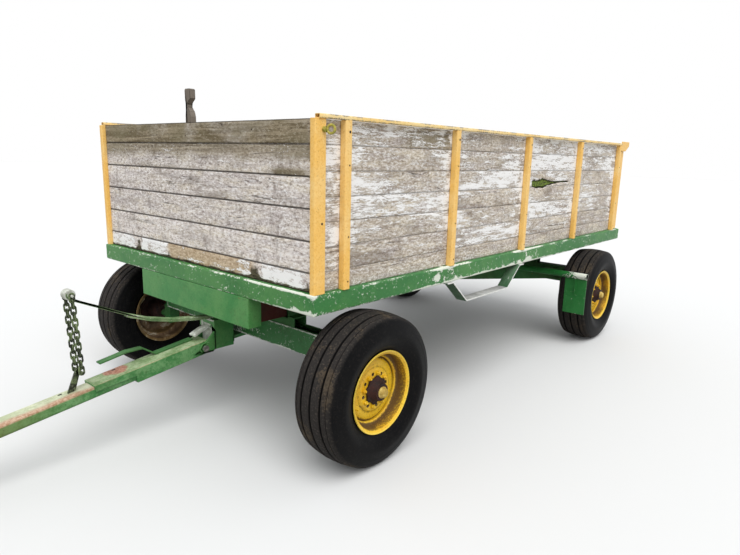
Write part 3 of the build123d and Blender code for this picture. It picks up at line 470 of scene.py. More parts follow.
def grime(n, place, amount):
    """Dirt in blotches and specks; amount shifts how much of the surface it covers."""
    level = n.noise(place, 5.0, 4.0, 0.6, 0.5) * 0.65 + n.noise(place, 42.0, 4.0, 0.65) * 0.45
    speck = n.noise(place, 160.0, 2.0, 0.5) + amount * 0.1
    return n.step(level + (amount - 1.05), -0.14, 0.22), n.step(speck, 0.70, 0.76)


GRAIN = shader_group("weathered_grain", ["Place"], ["Fibre", "Streak", "Check", "Height"], grain)
FLAKES = shader_group("paint_flakes", ["Place", "Grain", "Cover"], ["Mask", "Rim"], flakes)
CHIPS = shader_group("edge_chips", ["Place", "Edge", "Reach", "Amount"], ["Mask", "Rim"], edge_chips)
GRIME = shader_group("grime", ["Place", "Amount"], ["Mask", "Speck"], grime)


def new_material(name):
    """New material with an empty tree; returns it with the tree's builder."""
    made = bpy.data.materials.new(name)
    made.use_nodes = True
    made.node_tree.nodes.clear()
    return made, Nodes(made.node_tree)


def dress(n, colour, rough, height, bump, depth, metallic=0.0, specular=0.4, coat=0.0):
    """Shader fed with the finished colour, its roughness and a bump from the height."""
    inputs = {"Height": height, "Strength": bump, "Distance": depth}
    normal = n.out("ShaderNodeBump", inputs)
    shader = n.out("ShaderNodeBsdfPrincipled", {
        "Base Color": colour, "Roughness": rough, "Metallic": metallic, "Normal": normal,
        "Specular IOR Level": specular, "Coat Weight": coat})
    n.put("ShaderNodeOutputMaterial", {"Surface": shader})


def wood_material(name, pale, mid, dark, paint, cover, cut, bands, fleck, smudge, seam):
    """Weathered plank: streaks, flecks, upright smudges and checks, with old white paint in flakes on top.
    Marks: paint (more of it left), stain (olive brown), tan (bare brown), moss and slot (a torn gap, its walls in
    painted shade, near black round green moss)."""
    made, n = new_material(name)
    run, tone = n.run(), n.mark("tone")
    place = n.join(run[0], run[1], tone * 19.0)
    fibre, streak, check, relief = n.group(GRAIN, place)
    speck = n.noise(place, (42, 100, 1), 5.0, 0.85, shift=(5, 2, 0))
    cream = n.noise(place, (5, 21, 1), 4.0, 0.6, shift=(2, 7, 0))
    smear = n.noise(place, (17, 6, 1), 4.0, 0.65, 0.6, (8, 3, 0))
    soil = n.noise(place, (2.6, 9.0, 1), 3.0, 0.6, 0.5, (1, 6, 0))
    base = n.coats(
        n.mix(n.step(streak, 0.34, 0.66), mid, pale),
        (tone, 0.0, 1.0, dark, 0.18), (cream, 0.50, 0.64, "#E6D9C0", 0.45),
        (cream, 0.48, 0.36, "#B4A9AC", 0.35), (speck, 0.51, 0.58, paint, fleck),
        (speck, 0.465, 0.39, dark, fleck), (smear, 0.53, 0.70, dark, smudge), (soil, 0.52, 0.70, dark, 0.5))
    olive = n.coats(
        n.mix(n.step(streak, 0.35, 0.65), "#6E6149", "#A1937A"),
        (speck, 0.54, 0.64, "#C9C0AC", 0.7), (speck, 0.47, 0.36, "#453B2C", 0.75),
        (soil, 0.46, 0.62, "#7B7358", 0.5))
    base = n.mix(n.mark("stain"), base, olive)
    base = n.mix(n.mark("tan"), base, n.mix(n.step(speck, 0.42, 0.60), "#A88D6C", "#D9C3A0"))
    base = n.mix(check * 0.8, base, "#3A322B")
    band = n.noise(n.place(), (1.6, 1.6, 6.5), 4.0, 0.6, 0.4, (11, 3, 0))
    mask, rim = n.group(FLAKES, place, cut, (band - 0.5) * bands + cover + n.mark("paint"))
    colour = n.mix(rim * 0.35, base, dark)
    colour = n.mix(mask, colour, n.mix(n.step(fibre, 0.40, 0.62), paint, "#F6F5F3"))
    torn = n.mark("slot")
    # Painted shade: the torn slot's walls go near black for the shade in the gap, with green moss where it is
    # deepest.
    torn_shade_and_moss = n.mix(n.step(torn + speck * 0.5, 1.08, 1.24), "#14120C", "#82983F")
    moss = n.mix(n.step(speck, 0.45, 0.52), "#241F16", n.mix(torn, "#5A5440", torn_shade_and_moss))
    colour = n.mix(n.step(n.mark("moss") + speck * 0.9, 0.80, 1.0), colour, moss)
    colour = n.coats(colour, (n.mark("edge"), 0.0026, 0.0006, "#2E2822", seam))
    dress(n, colour, n.blend(mask, 0.88, 0.66), relief * 0.6 + mask * 0.45, 0.6, 0.0018, specular=0.22)
    return made


def paint_material(name, fresh, faded, chip, under, amount, reach, rough=0.48, dirt=0.35, soil="#4A4232",
                   speck="#2B2620", rust=0.0, nick=0.0, mottle=0.25, ends=None):
    """Old enamel: two shades of the colour, chips at edges, pale nicks, dirt and specks.
    The mark wear adds chips where the piece is worn most; ends is (y where they start, y where they are full,
    lowest z) of a pipe whose ends have lost their paint."""
    made, n = new_material(name)
    place = n.place()
    fine = n.noise(place, 38.0, 3.0, 0.6)
    pit = n.noise(place, 130.0, 3.0, 0.7)
    blotch = n.noise(place, 3.2, 4.0, 0.6, 0.6) + fine * 0.25
    dirty, dots = n.group(GRIME, place, dirt)
    base = n.coats(n.mix(n.step(blotch, 0.50, 0.80), fresh, faded),
                   (pit, 0.50, 0.66, faded, mottle), (pit, 0.49, 0.36, under, mottle))
    base = n.mix(dots * 0.7, n.mix(dirty * 0.5, base, soil), speck)
    if rust:
        spot = n.noise(place, 12.0, 4.0, 0.7, 0.7, (4, 2, 7))
        base = n.coats(base, (spot, 0.74 - rust * 0.12, 0.81 - rust * 0.12, "#7A3B22", 1.0))
    if nick:
        tick = n.noise(place, 52.0, 3.0, 0.7, 1.0, (6, 1, 3))
        base = n.coats(base, (tick, 0.79 - nick * 0.13, 0.82 - nick * 0.13, chip, 1.0))
    worn = n.mark("wear") + amount
    if ends:
        x, y, z = n.parts(place)
        outer = n.step(n.math("ABSOLUTE", y), ends[0], ends[1])
        worn = worn + outer * n.step(z, ends[2] - 0.002, ends[2], 0.0, 0.45)
    mask, rim = n.group(CHIPS, place, n.mark("edge"), reach, worn)
    colour = n.mix(mask, n.mix(rim * 0.5, base, under), chip)
    roughness = n.blend(n.math("MAXIMUM", mask, dirty * 0.6), rough, 0.82)
    dress(n, colour, roughness, fine * 0.12 - mask * 0.6, 0.5, 0.0012, specular=0.3)
    return made


def tongue_material(name, side, side_faded, top, top_faded, rust_band, band_share, hole, patch=0.0):
    """Tongue enamel: the faces that look up are weathered pale, with pinkish rust along their left rim;
    rust_band is (y where it starts, y where it is full), hole is the (x, y) of a bolt hole in the top,
    drawn as a near-black disc of painted shade, and patch adds a rusty blotch on the cap."""
    made, n = new_material(name)
    place = n.place()
    x, y, z = n.parts(place)
    facing = n.parts(n.out("ShaderNodeTexCoord", output="Normal"))[2]
    blotch = n.noise(place, 7.0, 4.0, 0.65, 0.6)
    fine = n.noise(place, 75.0, 4.0, 0.7)
    mottle = blotch * 0.6 + fine * 0.4
    rear_side = n.mix(n.step(mottle, 0.42, 0.6), "#3F7F42", "#73A36A")
    sides = n.mix(n.step(x, 2.25, 1.65), n.mix(n.step(mottle, 0.42, 0.60), side, side_faded), rear_side)
    tops = n.mix(n.step(mottle, 0.40, 0.58), top, top_faded)
    base = n.mix(n.step(facing + (fine - 0.5) * 0.4, 0.62, 0.86), sides, tops)
    upward = n.step(facing, 0.05, 0.45)
    band = n.step(y + (blotch - 0.5) * 0.05, *rust_band) * upward * band_share
    base = n.mix(band, base, n.mix(n.step(fine, 0.42, 0.60), "#A9785E", "#C9A48C"))
    if patch:
        away = n.out("ShaderNodeVectorMath", {0: place, 1: (1.515, -0.030, 0.396)}, 1, operation="DISTANCE")
        spread = n.step(away + (blotch - 0.5) * 0.09, 0.068, 0.050, 0.0, patch) * upward
        base = n.mix(spread, base, n.mix(n.step(fine, 0.42, 0.6), "#9C5A48", "#C08A78"))
    dirty, dots = n.group(GRIME, place, 0.42)
    base = n.mix(dots * 0.7, n.mix(dirty * 0.45, base, "#5A5636"), "#33281C")
    mask, rim = n.group(CHIPS, place, n.mark("edge"), 0.007, 0.30)
    colour = n.mix(mask, base, "#DCD9CC")
    # Painted shade: a near-black disc at the bolt hole stands in for the shade inside the hole.
    along, aside = (x - hole[0]) * 0.7, y - hole[1]
    away = n.math("SQRT", along * along + aside * aside)
    colour = n.mix(n.step(away, 0.0085, 0.0065) * upward, colour, "#0B0A08")
    dress(n, colour, n.blend(mask, 0.6, 0.8), fine * 0.4 - mask * 0.5, 0.5, 0.0012)
    return made


def rust_material(name, deep, bright, dust, metal):
    """Rusted iron: deep and bright rust in fine mottles with pale dust on top."""
    made, n = new_material(name)
    broad = n.noise(n.place(), 22.0, 5.0, 0.65, 0.5)
    fine = n.noise(n.place(), 240.0, 3.0, 0.6)
    base = n.coats(n.mix(n.step(broad, 0.38, 0.66), deep, bright), (fine, 0.58, 0.72, dust, 0.5))
    dress(n, base, n.step(broad, 0.3, 0.7, 0.62, 0.88), broad * 0.5 + fine * 0.5, 0.6, 0.0012, metal)
    return made


def rubber_material(name):
    """Tyre rubber: near black, greyer on the tread, with mud and dry grass bits low in the pattern."""
    made, n = new_material(name)
    place, groove = n.place(), n.mark("groove")
    tread = n.step(n.mark("radius"), 0.355, 0.378)
    broad = n.noise(place, 7.0, 4.0, 0.6, 0.4)
    fine = n.noise(place, 95.0, 4.0, 0.7)
    base = n.mix(tread, "#060607", "#2E2B29")
    base = n.coats(base, (fine, 0.50, 0.72, "#5A534C", n.blend(tread, 0.10, 0.6)))
    mud = n.math("MAXIMUM", tread, groove * 0.9) * n.step(broad + fine * 0.55, 0.80, 0.98)
    base = n.mix(mud * 0.55, base, "#5E5140")
    bits = n.step(n.noise(place, 130.0, 3.0, 0.5, 1.5, (9, 9, 9)), 0.70, 0.73)
    base = n.mix(bits * mud * 0.9, base, "#77724A")
    base = n.coats(base, (groove, 0.15, 0.55, "#040404", 0.95))
    dust = n.step(broad, 0.50, 0.75, 0.0, 0.06) * n.math("SUBTRACT", 1.0, tread)
    base = n.mix(dust, base, "#4B4944")
    inputs = {"Vector": n.join(n.run()[0] * 340.0, 0.0, 0.0), "Scale": 1.0, "Distortion": 0.5}
    sipe = n.out("ShaderNodeTexWave", inputs, 1, wave_type="BANDS")
    height = fine * 0.6 + sipe * tread * 0.25 + mud * 0.8
    dress(n, base, n.blend(tread, 0.5, 0.75), height, 0.5, 0.0018, specular=0.09)
    return made


def wheel_material(name):
    """Bright yellow wheel enamel: paler lip, dirt and rust in the creases and low in the barrel."""
    made, n = new_material(name)
    place = n.place()
    blotch = n.noise(place, 9.0, 4.0, 0.6, 0.5)
    fine = n.noise(place, 120.0, 4.0, 0.65)
    level = n.mark("crease") * 0.62 + fine * 0.45 + blotch * 0.35
    base = n.coats(
        n.mix(n.step(blotch, 0.35, 0.7), "#E2AE14", "#F2C928"),
        (n.mark("radius"), 0.198, 0.208, "#F4D24C", 1.0), (blotch, 0.54, 0.72, "#B88416", 0.5),
        (level, 0.58, 0.84, "#4A2E0C", 0.95), (fine, 0.57, 0.66, "#8E6412", 0.75))
    old = n.coats(n.mix(n.step(blotch, 0.40, 0.60), "#4E3A2A", "#8A6F50"),
                  (blotch + fine * 0.3, 0.72, 0.80, "#D8CDB4", 1.0))
    scratch = n.noise(place, 60.0, 4.0, 0.75, 1.2, (5, 5, 5))
    base = n.coats(n.mix(n.mark("inner") * 0.92, base, old), (scratch, 0.70, 0.74, "#F3E7B8", 0.8))
    dress(n, base, n.step(level, 0.4, 0.9, 0.42, 0.8), fine, 0.3, 0.001, specular=0.5, coat=0.1)
    return made


# Name, pale, mid, dark and paint colours, paint cover, flake cuts, paint bands, flecks, smudges and seams
WOODS = [
    ("front_wall_wood", "#EBE1D8", "#D6CBC2", "#7D7067", "#FAF7F4", 0.28, (18, 60, 1), 0.15, 0.85, 0.50, 0.8),
    ("side_wall_wood", "#D2C5B4", "#B9AB9A", "#74675A", "#F3F1EE", 0.45, (12, 92, 1), 0.55, 0.75, 0.30, 0.25),
    ("gate_wood", "#CFC4B6", "#B3A798", "#776B60", "#F1EFEC", 0.38, (12, 70, 1), 0.4, 0.65, 0.4, 0.9),
    ("floor_boards_wood", "#A79B89", "#8A7E6D", "#5C5144", "#BDB6A8", 0.12, (8, 40, 1), 0.2, 0.5, 0.5, 0.9),
    ("middle_post_wood", "#8F857A", "#6E655A", "#453D35", "#B9B2A6", 0.05, (8, 40, 1), 0.1, 0.5, 0.3, 0.9),
]
# Name, fresh, faded, chip and under colours, amount and reach of chips, then roughness, dirt, its colour
PAINTS = [
    ("deck_green_paint", "#35753A", "#4C8545", "#DDE3D3", "#2E5A33", 0.42, 0.008, 0.48, 0.34),
    ("sill_green_paint", "#388140", "#568F4E", "#D5DDD0", "#274F2B", 0.26, 0.006, 0.48, 0.34),
    ("post_yellow_paint", "#F6C264", "#F9D084", "#FBE3A8", "#DDA648", 0.24, 0.006, 0.48, 0.16, "#B98A38"),
    ("rail_cream_paint", "#F6D083", "#F8DFA4", "#9A9080", "#B79A55", 0.48, 0.008, 0.48, 0.30, "#98835A"),
    ("gear_green_paint", "#2C6B33", "#4A7A44", "#A9B7A0", "#1D3A20", 0.24, 0.008, 0.6, 0.48, "#3A3324"),
    ("axle_green_paint", "#2B6A33", "#3F7440", "#D3DACB", "#1D3A20", 0.62, 0.014, 0.48, 0.42, "#3A3324"),
    ("spring_leaf_paint", "#557B47", "#93A67A", "#E2E4D2", "#26331E", 0.44, 0.010, 0.66, 0.45, "#1E1C14"),
    ("long_sill_red", "#4A1A14", "#5F2A20", "#8A6A58", "#2A120E", 0.20, 0.010, 0.75, 0.5),
    ("step_worn_paint", "#2F5A36", "#5C7A5C", "#F4F4F0", "#77777A", 0.47, 0.010, 0.5, 0.35),
    ("step_tread_steel", "#A3A39F", "#CFCFCA", "#F4F4F0", "#77777A", 0.40, 0.010, 0.45, 0.40, "#5A5A55"),
    ("step_edge_white", "#EDEDE8", "#DADAD4", "#8B8B86", "#77777A", 0.22, 0.004, 0.48, 0.2),
    ("guard_plate_green", "#1F6A2C", "#2F7A3A", "#DDE0D2", "#1D3A20", 0.42, 0.010, 0.48, 0.3),
]
PAINT_EXTRAS = {
    "deck_green_paint": {"rust": 0.3, "nick": 1.2},
    "sill_green_paint": {"rust": 0.2, "nick": 0.6},
    "post_yellow_paint": {"speck": "#4A3818", "mottle": 0.5},
    "rail_cream_paint": {"nick": 0.8},
    "gear_green_paint": {"rust": 0.5, "nick": 0.3},
    "axle_green_paint": {"rust": 0.3, "nick": 1.0},
    "spring_leaf_paint": {"nick": 0.8},
    "long_sill_red": {"rust": 0.5},
    "step_worn_paint": {"nick": 0.8},
    "guard_plate_green": {"rust": 0.4, "nick": 0.8, "ends": (0.80, 1.02, 0.580)},
}
# Name, side, faded side, top and faded top colours, rust band, its share, bolt hole (a painted-shade dark disc)
# and rusty patch
TONGUES = [
    ("sleeve_green_paint", "#327A3C", "#5A9A58", "#6C8A55", "#A3B48C", (0.046, 0.062), 0.4,
     (1.522, -0.040), 0.9),
    ("drawbar_paint", "#6B7038", "#6F8246", "#D2D5B8", "#B4BC98", (0.006, 0.040), 0.85, (1.794, -0.020)),
]
# Name, deep, bright and dust colours, and how metallic it is
RUSTS = [
    ("rusty_iron", "#3A211A", "#6E3E28", "#8C6A55", 0.25),
    ("dark_bolt_iron", "#15110E", "#2C211A", "#453A30", 0.25),
    ("hub_rust_brown", "#201210", "#40251F", "#6A4A40", 0.25),
    ("chain_lichen_iron", "#1E2117", "#78885C", "#E2E6D0", 0.25),
    ("worn_bolt_steel", "#6E6A64", "#A7A29A", "#D5D2CC", 0.7),
    ("eye_bolt_yellow_green", "#8F8C34", "#D3C060", "#EFE6A8", 0.1),
    ("pale_strap_corroded", "#A9AB9E", "#E0E2D8", "#FAFAF5", 0.0),
    ("hub_cap_pale", "#A98A3C", "#E2C977", "#F1E5B6", 0.1),
]
MATS = {row[0]: wood_material(*row) for row in WOODS}
MATS.update({row[0]: paint_material(*row, **PAINT_EXTRAS.get(row[0], {})) for row in PAINTS})
MATS.update({row[0]: tongue_material(*row) for row in TONGUES})
MATS.update({row[0]: rust_material(*row) for row in RUSTS})
MATS["tyre_rubber"] = rubber_material("tyre_rubber_dusty")
MATS["wheel_yellow"] = wheel_material("wheel_yellow_paint")

for node in nodes.values():
    node.data.materials.clear()
    node.data.materials.append(MATS["gear_green_paint"])


# Planked walls, gate and floor

FRONT_BOARDS = [90, 142, 143, 139, 137, 106]
SIDE_BOARDS = [90, 112, 113, 110, 112, 114, 106]
FRAME_TOP = corners("frame_sides")[1, 2]
WALL_TOP = corners("left_boards")[1, 2]
END_ROUND = 0.003


def board_rows(heights, gap):
    """Low and high edge of each board of a wall, standing on the deck with even gaps."""
    heights = np.array(heights) * MILLI
    spare = WALL_TOP - FRAME_TOP + gap - heights.sum() - gap * len(heights)
    heights = heights + spare / len(heights)
    tops = FRAME_TOP + np.cumsum(heights + gap) - gap
    return np.stack([tops - heights, tops], 1)


def plank(skin, start, end, middle, directions, thickness, height, seed, wear=1.0, cell=0.03, **marks):
    """Weathered board: a rounded rectangle carried along its length, which shrinks at both ends and closes in
    a middle point. Each point moves inward by streaky noise that is long along the grain, and by coarse bites
    near the board's edges."""
    direction, across, up = directions
    points, girth, edge = rounded_section(thickness, height, 0.0025, 2, max(2, int(height / 0.010)))
    rng = np.random.default_rng(seed)
    tone, offset = rng.random(), rng.random() * 40
    close = np.array([0, 0, 0.3, 1]) * END_ROUND
    steps = np.linspace(start, end, max(6, int((end - start) / cell)))[1:-1]
    steps = np.concatenate([start + close, steps, end - close[::-1]])
    shrink = np.ones(len(steps))
    shrink[:3] = [0, 1 - 2 * END_ROUND / min(thickness, height), 1 - 0.6 * END_ROUND / min(thickness, height)]
    shrink[-3:] = shrink[2::-1]
    grid = placed(points * shrink[:, None, None], directions, middle, steps)
    marks = {key: value(grid) if callable(value) else value for key, value in marks.items()}
    along = grid @ direction
    lie = np.broadcast_arrays(along * 3.2 + offset, girth[:-1] * 95, tone * 9)
    groove = layered_noise(np.stack(lie, -1), seed) * 0.0011
    lie = np.broadcast_arrays(along * 22 + offset, points[:, 0] * 30, np.sign(points[:, 1]) * 5)
    bite = np.clip(layered_noise(np.stack(lie, -1), seed + 5) - 0.52, 0, 1) * 0.018
    depth = (groove + bite * np.exp(-edge / 0.005)) * wear + np.clip(marks.get("slot", 0.0), 0, 1) * 0.015
    outward = np.sign(points) * (np.abs(points) >= np.array([thickness, height]) / 2 - 0.0008)
    grid = grid - depth[..., None] * (outward[:, 0, None] * across + 0.12 * outward[:, 1, None] * up)
    near_end = np.minimum(steps - start, end - steps)
    skin.add(grid, lengths=steps + offset, girth=girth, edge=np.minimum(edge, near_end[:, None]), tone=tone,
             **marks)


def hill(value, middle, half, soft):
    """Flat-topped bump: 1 within half of the middle, falling to 0 over the soft width."""
    return np.clip((half + soft - np.abs(value - middle)) / soft, 0, 1)


FRONT_PATCHES = [(-0.81, 0.148, 1.0), (-0.417, 0.137, 1.0), (0.452, 0.035, 0.8), (0.755, 0.155, 1.0),
                 (0.10, 0.28, 0.30)]
FRONT_KNOTS = [(-0.605, 0.030), (0.538, 0.034), (-0.250, 0.006), (0.93, 0.008)]
TOP_BOARD, STAINED_BOARD = 5, 4


def foot_marks(low_edge):
    """Marks of the lowest front board: white at both ends, tan between and mossy at its foot and knots."""
    def paint(grid):
        y = grid[..., 1] + 0.05 * ragged(grid, 0.05, 3)
        white = sum(hill(y, middle, half, 0.03) * share for middle, half, share in FRONT_PATCHES)
        strip = hill(grid[..., 2] + 0.02 * ragged(grid, 0.08, 12), low_edge + 0.022, 0.004, 0.010)
        return np.clip(white + 0.5 * strip, 0, 1) * 0.48 - 0.20 + 0.35 * ragged(grid, 0.035, 21)

    def tan(grid):
        return hill(grid[..., 1] + 0.06 * ragged(grid, 0.06, 8), 0.135, 0.375, 0.05) * 0.85

    def moss(grid):
        y, z = grid[..., 1], grid[..., 2]
        foot = hill(z + 0.02 * ragged(grid, 0.06, 5), low_edge, 0.010, 0.012) * 0.62
        bend = 0.035 * ragged(grid, 0.045, 17)
        knots = sum(hill(np.hypot(y + bend - middle, (z - low_edge - 0.030) * 0.75), 0, half * 0.8, 0.02)
                    for middle, half in FRONT_KNOTS)
        return np.clip(foot + knots * (0.60 + 0.7 * ragged(grid, 0.03, 2)), 0, 0.80)

    return {"paint": paint, "tan": tan, "stain": 0.0, "moss": moss}


def top_marks():
    """Marks of the top front board: olive brown, mossy and nearly bare."""
    return {"paint": -0.10, "tan": 0.0,
            "stain": lambda grid: np.clip(0.92 + 0.9 * ragged(grid, 0.12, 4), 0, 1),
            "moss": lambda grid: 0.25 + 0.4 * ragged(grid, 0.10, 9)}


def middle_marks(index):
    """Marks of the other front boards; the one below the top has a stained upper half and a blot."""
    def stain(grid):
        high_edge = hill(grid[..., 2] + 0.05 * ragged(grid, 0.09, 6), 1.545, 0.036, 0.045)
        blot = hill(grid[..., 1], 0.80, 0.09, 0.06) * hill(grid[..., 2], 1.425, 0.010, 0.02)
        return np.clip(high_edge * 0.72 + blot * 0.8 + 0.12, 0, 1)

    return {"paint": 0.0, "tan": 0.0, "stain": stain if index == STAINED_BOARD else 0.0, "moss": 0.0}


lo, hi = corners("front_boards")
front_x = hi[0]
skin = Skin()
for i, (a, b) in enumerate(board_rows(FRONT_BOARDS, 0.001)):
    marks = foot_marks(a) if i == 0 else top_marks() if i == TOP_BOARD else middle_marks(i)
    plank(skin, -hi[1], hi[1], ((lo[0] + hi[0]) / 2, 0, (a + b) / 2), (Y, X, Z), hi[0] - lo[0], b - a, 11 + i,
          cell=0.016, **marks)
skin.make("front_wall_boards", "wagon", MATS["front_wall_wood"], ["front_boards"])

stake_low, stake_high = corners("left_stakes")
STAKE_LENGTH, STAKE_WIDTH, STAKE_COUNT = 0.042, 0.036, 5
stake_centres = np.linspace(stake_high[0] - STAKE_LENGTH / 2, stake_low[0] + STAKE_LENGTH / 2, STAKE_COUNT)
SLOT_START, SLOT_END, SLOT_HEIGHT = -1.02, -1.65, 1.345
BAND_SHIFTS = {6: -0.01, 5: 0.03, 3: -0.03, 1: -0.06}


def side_marks(index, side):
    """Marks of a side board: paint is left in bands and close to the stakes, the lowest board is nearly bare, and
    a torn slot, with moss and painted shade on its walls, lies between the third and the fourth stake of the left
    wall."""
    def paint(grid):
        x = grid[..., 0]
        if index == 0:
            return -0.20 + 0.5 * ragged(grid, 0.3, 2)
        away = np.abs(x[..., None] - stake_centres).min(-1)
        sheltered = np.exp(-(away / 0.11) ** 2) * (0.07 + ragged(grid, 0.055, 7 + index))
        wave = 0.05 * np.sin(x * 2.1 + index * 1.9 + side) + 0.04 * np.sin(x * 5.3 + index * 4.1)
        return wave + sheltered + 0.02 * hill(x, -1.4, 0.3, 0.4) + BAND_SHIFTS.get(index, 0.0)

    def stain(grid):
        return np.clip(hill(grid[..., 0], 0.22, 0.16, 0.15) + 1.5 * ragged(grid, 0.15, 4) - 0.1, 0, 0.8)

    def slot(grid):
        x, y, z = np.moveaxis(grid, -1, 0)
        share = np.clip((SLOT_START - x) / (SLOT_START - SLOT_END), 0, 1)
        half = 0.021 * np.exp(-((share - 0.24) / 0.20) ** 2) + 0.010 * (1 - share) + 0.003
        half = half * (1 + 1.3 * ragged(grid, 0.035, 8))
        middle = SLOT_HEIGHT + 0.008 * share + 0.010 * ragged(grid, 0.05, 31)
        inside = np.clip((half - np.abs(z - middle)) / 0.007 + 0.5, 0, 1)
        return inside * (share > 0) * (share < 1) * ((y > 0.935) if side > 0 else 0.0)

    return {"paint": paint, "stain": stain if index == 6 else 0.0, "slot": slot,
            "moss": lambda grid: slot(grid) * 1.1}


for name, side in (("left", 1), ("right", -1)):
    node = name + "_boards"
    lo, hi = corners(node)
    skin = Skin()
    for i, (a, b) in enumerate(board_rows(SIDE_BOARDS, 0.0003)):
        plank(skin, lo[0], hi[0], (0, (lo[1] + hi[1]) / 2, (a + b) / 2), (X, Y, Z), hi[1] - lo[1], b - a,
              31 + i + 10 * side, wear=0.7, cell=0.016 if side > 0 and a < SLOT_HEIGHT < b else 0.03,
              **side_marks(i, side))
    skin.make(name + "_wall_boards", "wagon", MATS["side_wall_wood"], [node])

lo, hi = corners("gate_boards")
skin = Skin()
for i, (a, b) in enumerate(board_rows(FRONT_BOARDS, 0.001)):
    a = max(a, lo[2])
    plank(skin, lo[1], hi[1], ((lo[0] + hi[0]) / 2, 0, (a + b) / 2), (Y, X, Z), hi[0] - lo[0], b - a, 61 + i)
skin.make("gate_wall_boards", "tailgate", MATS["gate_wood"], ["gate_boards"])

lo, hi = corners("floor")
FLOOR_BOARDS, FLOOR_GAP = 8, 0.003
pitch = (hi[1] - lo[1] + FLOOR_GAP) / FLOOR_BOARDS
skin = Skin()
for i in range(FLOOR_BOARDS):
    mid_y = lo[1] + (i + 0.5) * pitch - FLOOR_GAP / 2
    plank(skin, lo[0], hi[0], (0, mid_y, (lo[2] + hi[2]) / 2), (X, Z, Y), hi[2] - lo[2], pitch - FLOOR_GAP,
          81 + i, wear=0.5, cell=0.08)
skin.make("floor_planks", "wagon", MATS["floor_boards_wood"], ["floor"])

# Deck frame: one channel carried round the deck with mitred corners
deck_low, deck_high = corners("frame_sides")
deck_rear, deck_front = corners("frame_ends")[:, 0]
depth = deck_high[2] - deck_low[2]
FLANGE, SHEET, BEND = 0.045, 0.006, 0.007
STEP_ENDS = (0.044, -0.905)


def channel_section():
    """Channel with rounded outer bends, web outward, flanges inward; points are (outward, up) from its rim."""
    bend = [(math.sin(a), math.cos(a)) for a in np.linspace(0, math.pi / 2, 5)]
    top = [(BEND * s - BEND, BEND * c - BEND) for s, c in bend]
    web = [(0, -depth * t) for t in (0.17, 0.28, 0.39, 0.50, 0.61, 0.72, 0.83)]
    bottom = [(BEND * c - BEND, BEND - depth - BEND * s) for s, c in bend]
    inner = [(-BEND - 0.012, -depth), (0.006 - FLANGE, -depth), (-FLANGE, -depth), (-FLANGE, SHEET - depth),
             (-SHEET, SHEET - depth), (-SHEET, -SHEET), (-FLANGE, -SHEET), (-FLANGE, 0), (0.006 - FLANGE, 0),
             (-BEND - 0.012, 0)]
    edge = [0.0] * 5 + [0.010, 0.02, 0.03, 0.04, 0.03, 0.02, 0.010] + [0.0] * 5 + [
        0.012, 0.006, 0.0, 0.0, 0.04, 0.04, 0.0, 0.0, 0.006, 0.012]
    return np.array(top + web + bottom + inner), np.array(edge)


section, section_edge = channel_section()
plan = deck_high[1] * np.array([(0, 1), (0, 1), (0, -1), (0, -1)]) + [
    (deck_front, 0), (deck_rear, 0), (deck_rear, 0), (deck_front, 0)]
OUTWARD = np.array([(0, 1), (-1, 0), (0, -1), (1, 0)])
place_rows, out_rows, corner_rows = [], [], []
for i in range(4):
    side_run = np.roll(plan, -1, 0)[i] - plan[i]
    run = np.linalg.norm(side_run)
    count = int(run / 0.03)
    share = np.arange(count) / count
    place_rows.append(plan[i] + side_run * share[:, None])
    out_rows.append(OUTWARD[i] + OUTWARD[i - 1] * (share[:, None] == 0))
    corner_rows.append(np.minimum(share, 1 - share) * run)
place_rows, out_rows = np.concatenate(place_rows), np.concatenate(out_rows)
corner_rows = np.concatenate(corner_rows)[:, None]
grid = np.zeros((len(place_rows), len(section), 3))
grid[..., :2] = place_rows[:, None] + out_rows[:, None] * section[:, 0, None]
grid[..., 2] = FRAME_TOP + section[:, 1]
dent = np.where(corner_rows > 0.05, layered_noise(grid * 9, 5, 2) * 0.0022, 0.0004)
grid[..., :2] -= out_rows[:, None] * dent[..., None]
grid[..., 2] -= 0.5 * dent * (section[:, 1] > -0.02)
x, y, z = np.moveaxis(grid, -1, 0)
below = FRAME_TOP - z
front_face = np.clip((x - deck_front + 0.03) / 0.02, 0, 1)
top_rim = np.clip(1 - below / 0.020, 0, 1)
foot_rim = np.clip(1 - (depth - below) / 0.020, 0, 1)
lower_half = np.clip(1 - (depth - below) / 0.065, 0, 1)
stretch_share = np.clip(1 - np.abs(x + 0.65), 0, 1) ** 0.5
lumps = ragged(grid, 0.045, 14)
wear = front_face * top_rim * np.clip(0.02 + y * 0.06, -0.02, 0.07) + 0.05 * top_rim
wear += front_face * (0.20 + 1.4 * lumps) * np.exp(-((y - 0.90) / 0.14) ** 2)
wear += (1 - front_face) * (lower_half * stretch_share * (0.34 + 1.7 * lumps) + foot_rim * 0.06)
wear += 0.03 * np.exp(-(corner_rows / 0.03) ** 2)
for step_end in STEP_ENDS:
    away = np.hypot(x - step_end, (depth * 0.6 - below) * 1.3)
    wear += (0.44 + 1.6 * lumps) * np.exp(-(away / 0.13) ** 2) * (y > 0.9)
skin = Skin()
skin.add(grid, along=True, girth=round_length(section),
         edge=section_edge * np.clip(corner_rows / 0.10, 0.25, 1), wear=wear)
skin.make("deck_frame", "wagon", MATS["deck_green_paint"], ["frame_sides", "frame_ends"])

# Posts, stakes and rails
post_low, post_high = corners("corner_posts")
POST_LENGTH, POST_WIDTH = 0.067, 0.034
skin = Skin()
for side in (1, -1):
    middle = (post_high[0] - POST_LENGTH / 2, side * (post_high[1] - POST_WIDTH / 2), 0)
    tube(skin, POST_LENGTH, POST_WIDTH, 0.006, 0.004, (Z, X, Y), middle, post_low[2], post_high[2], 14, 4)
skin.make("corner_post_tubes", "wagon", MATS["post_yellow_paint"], ["corner_posts"])

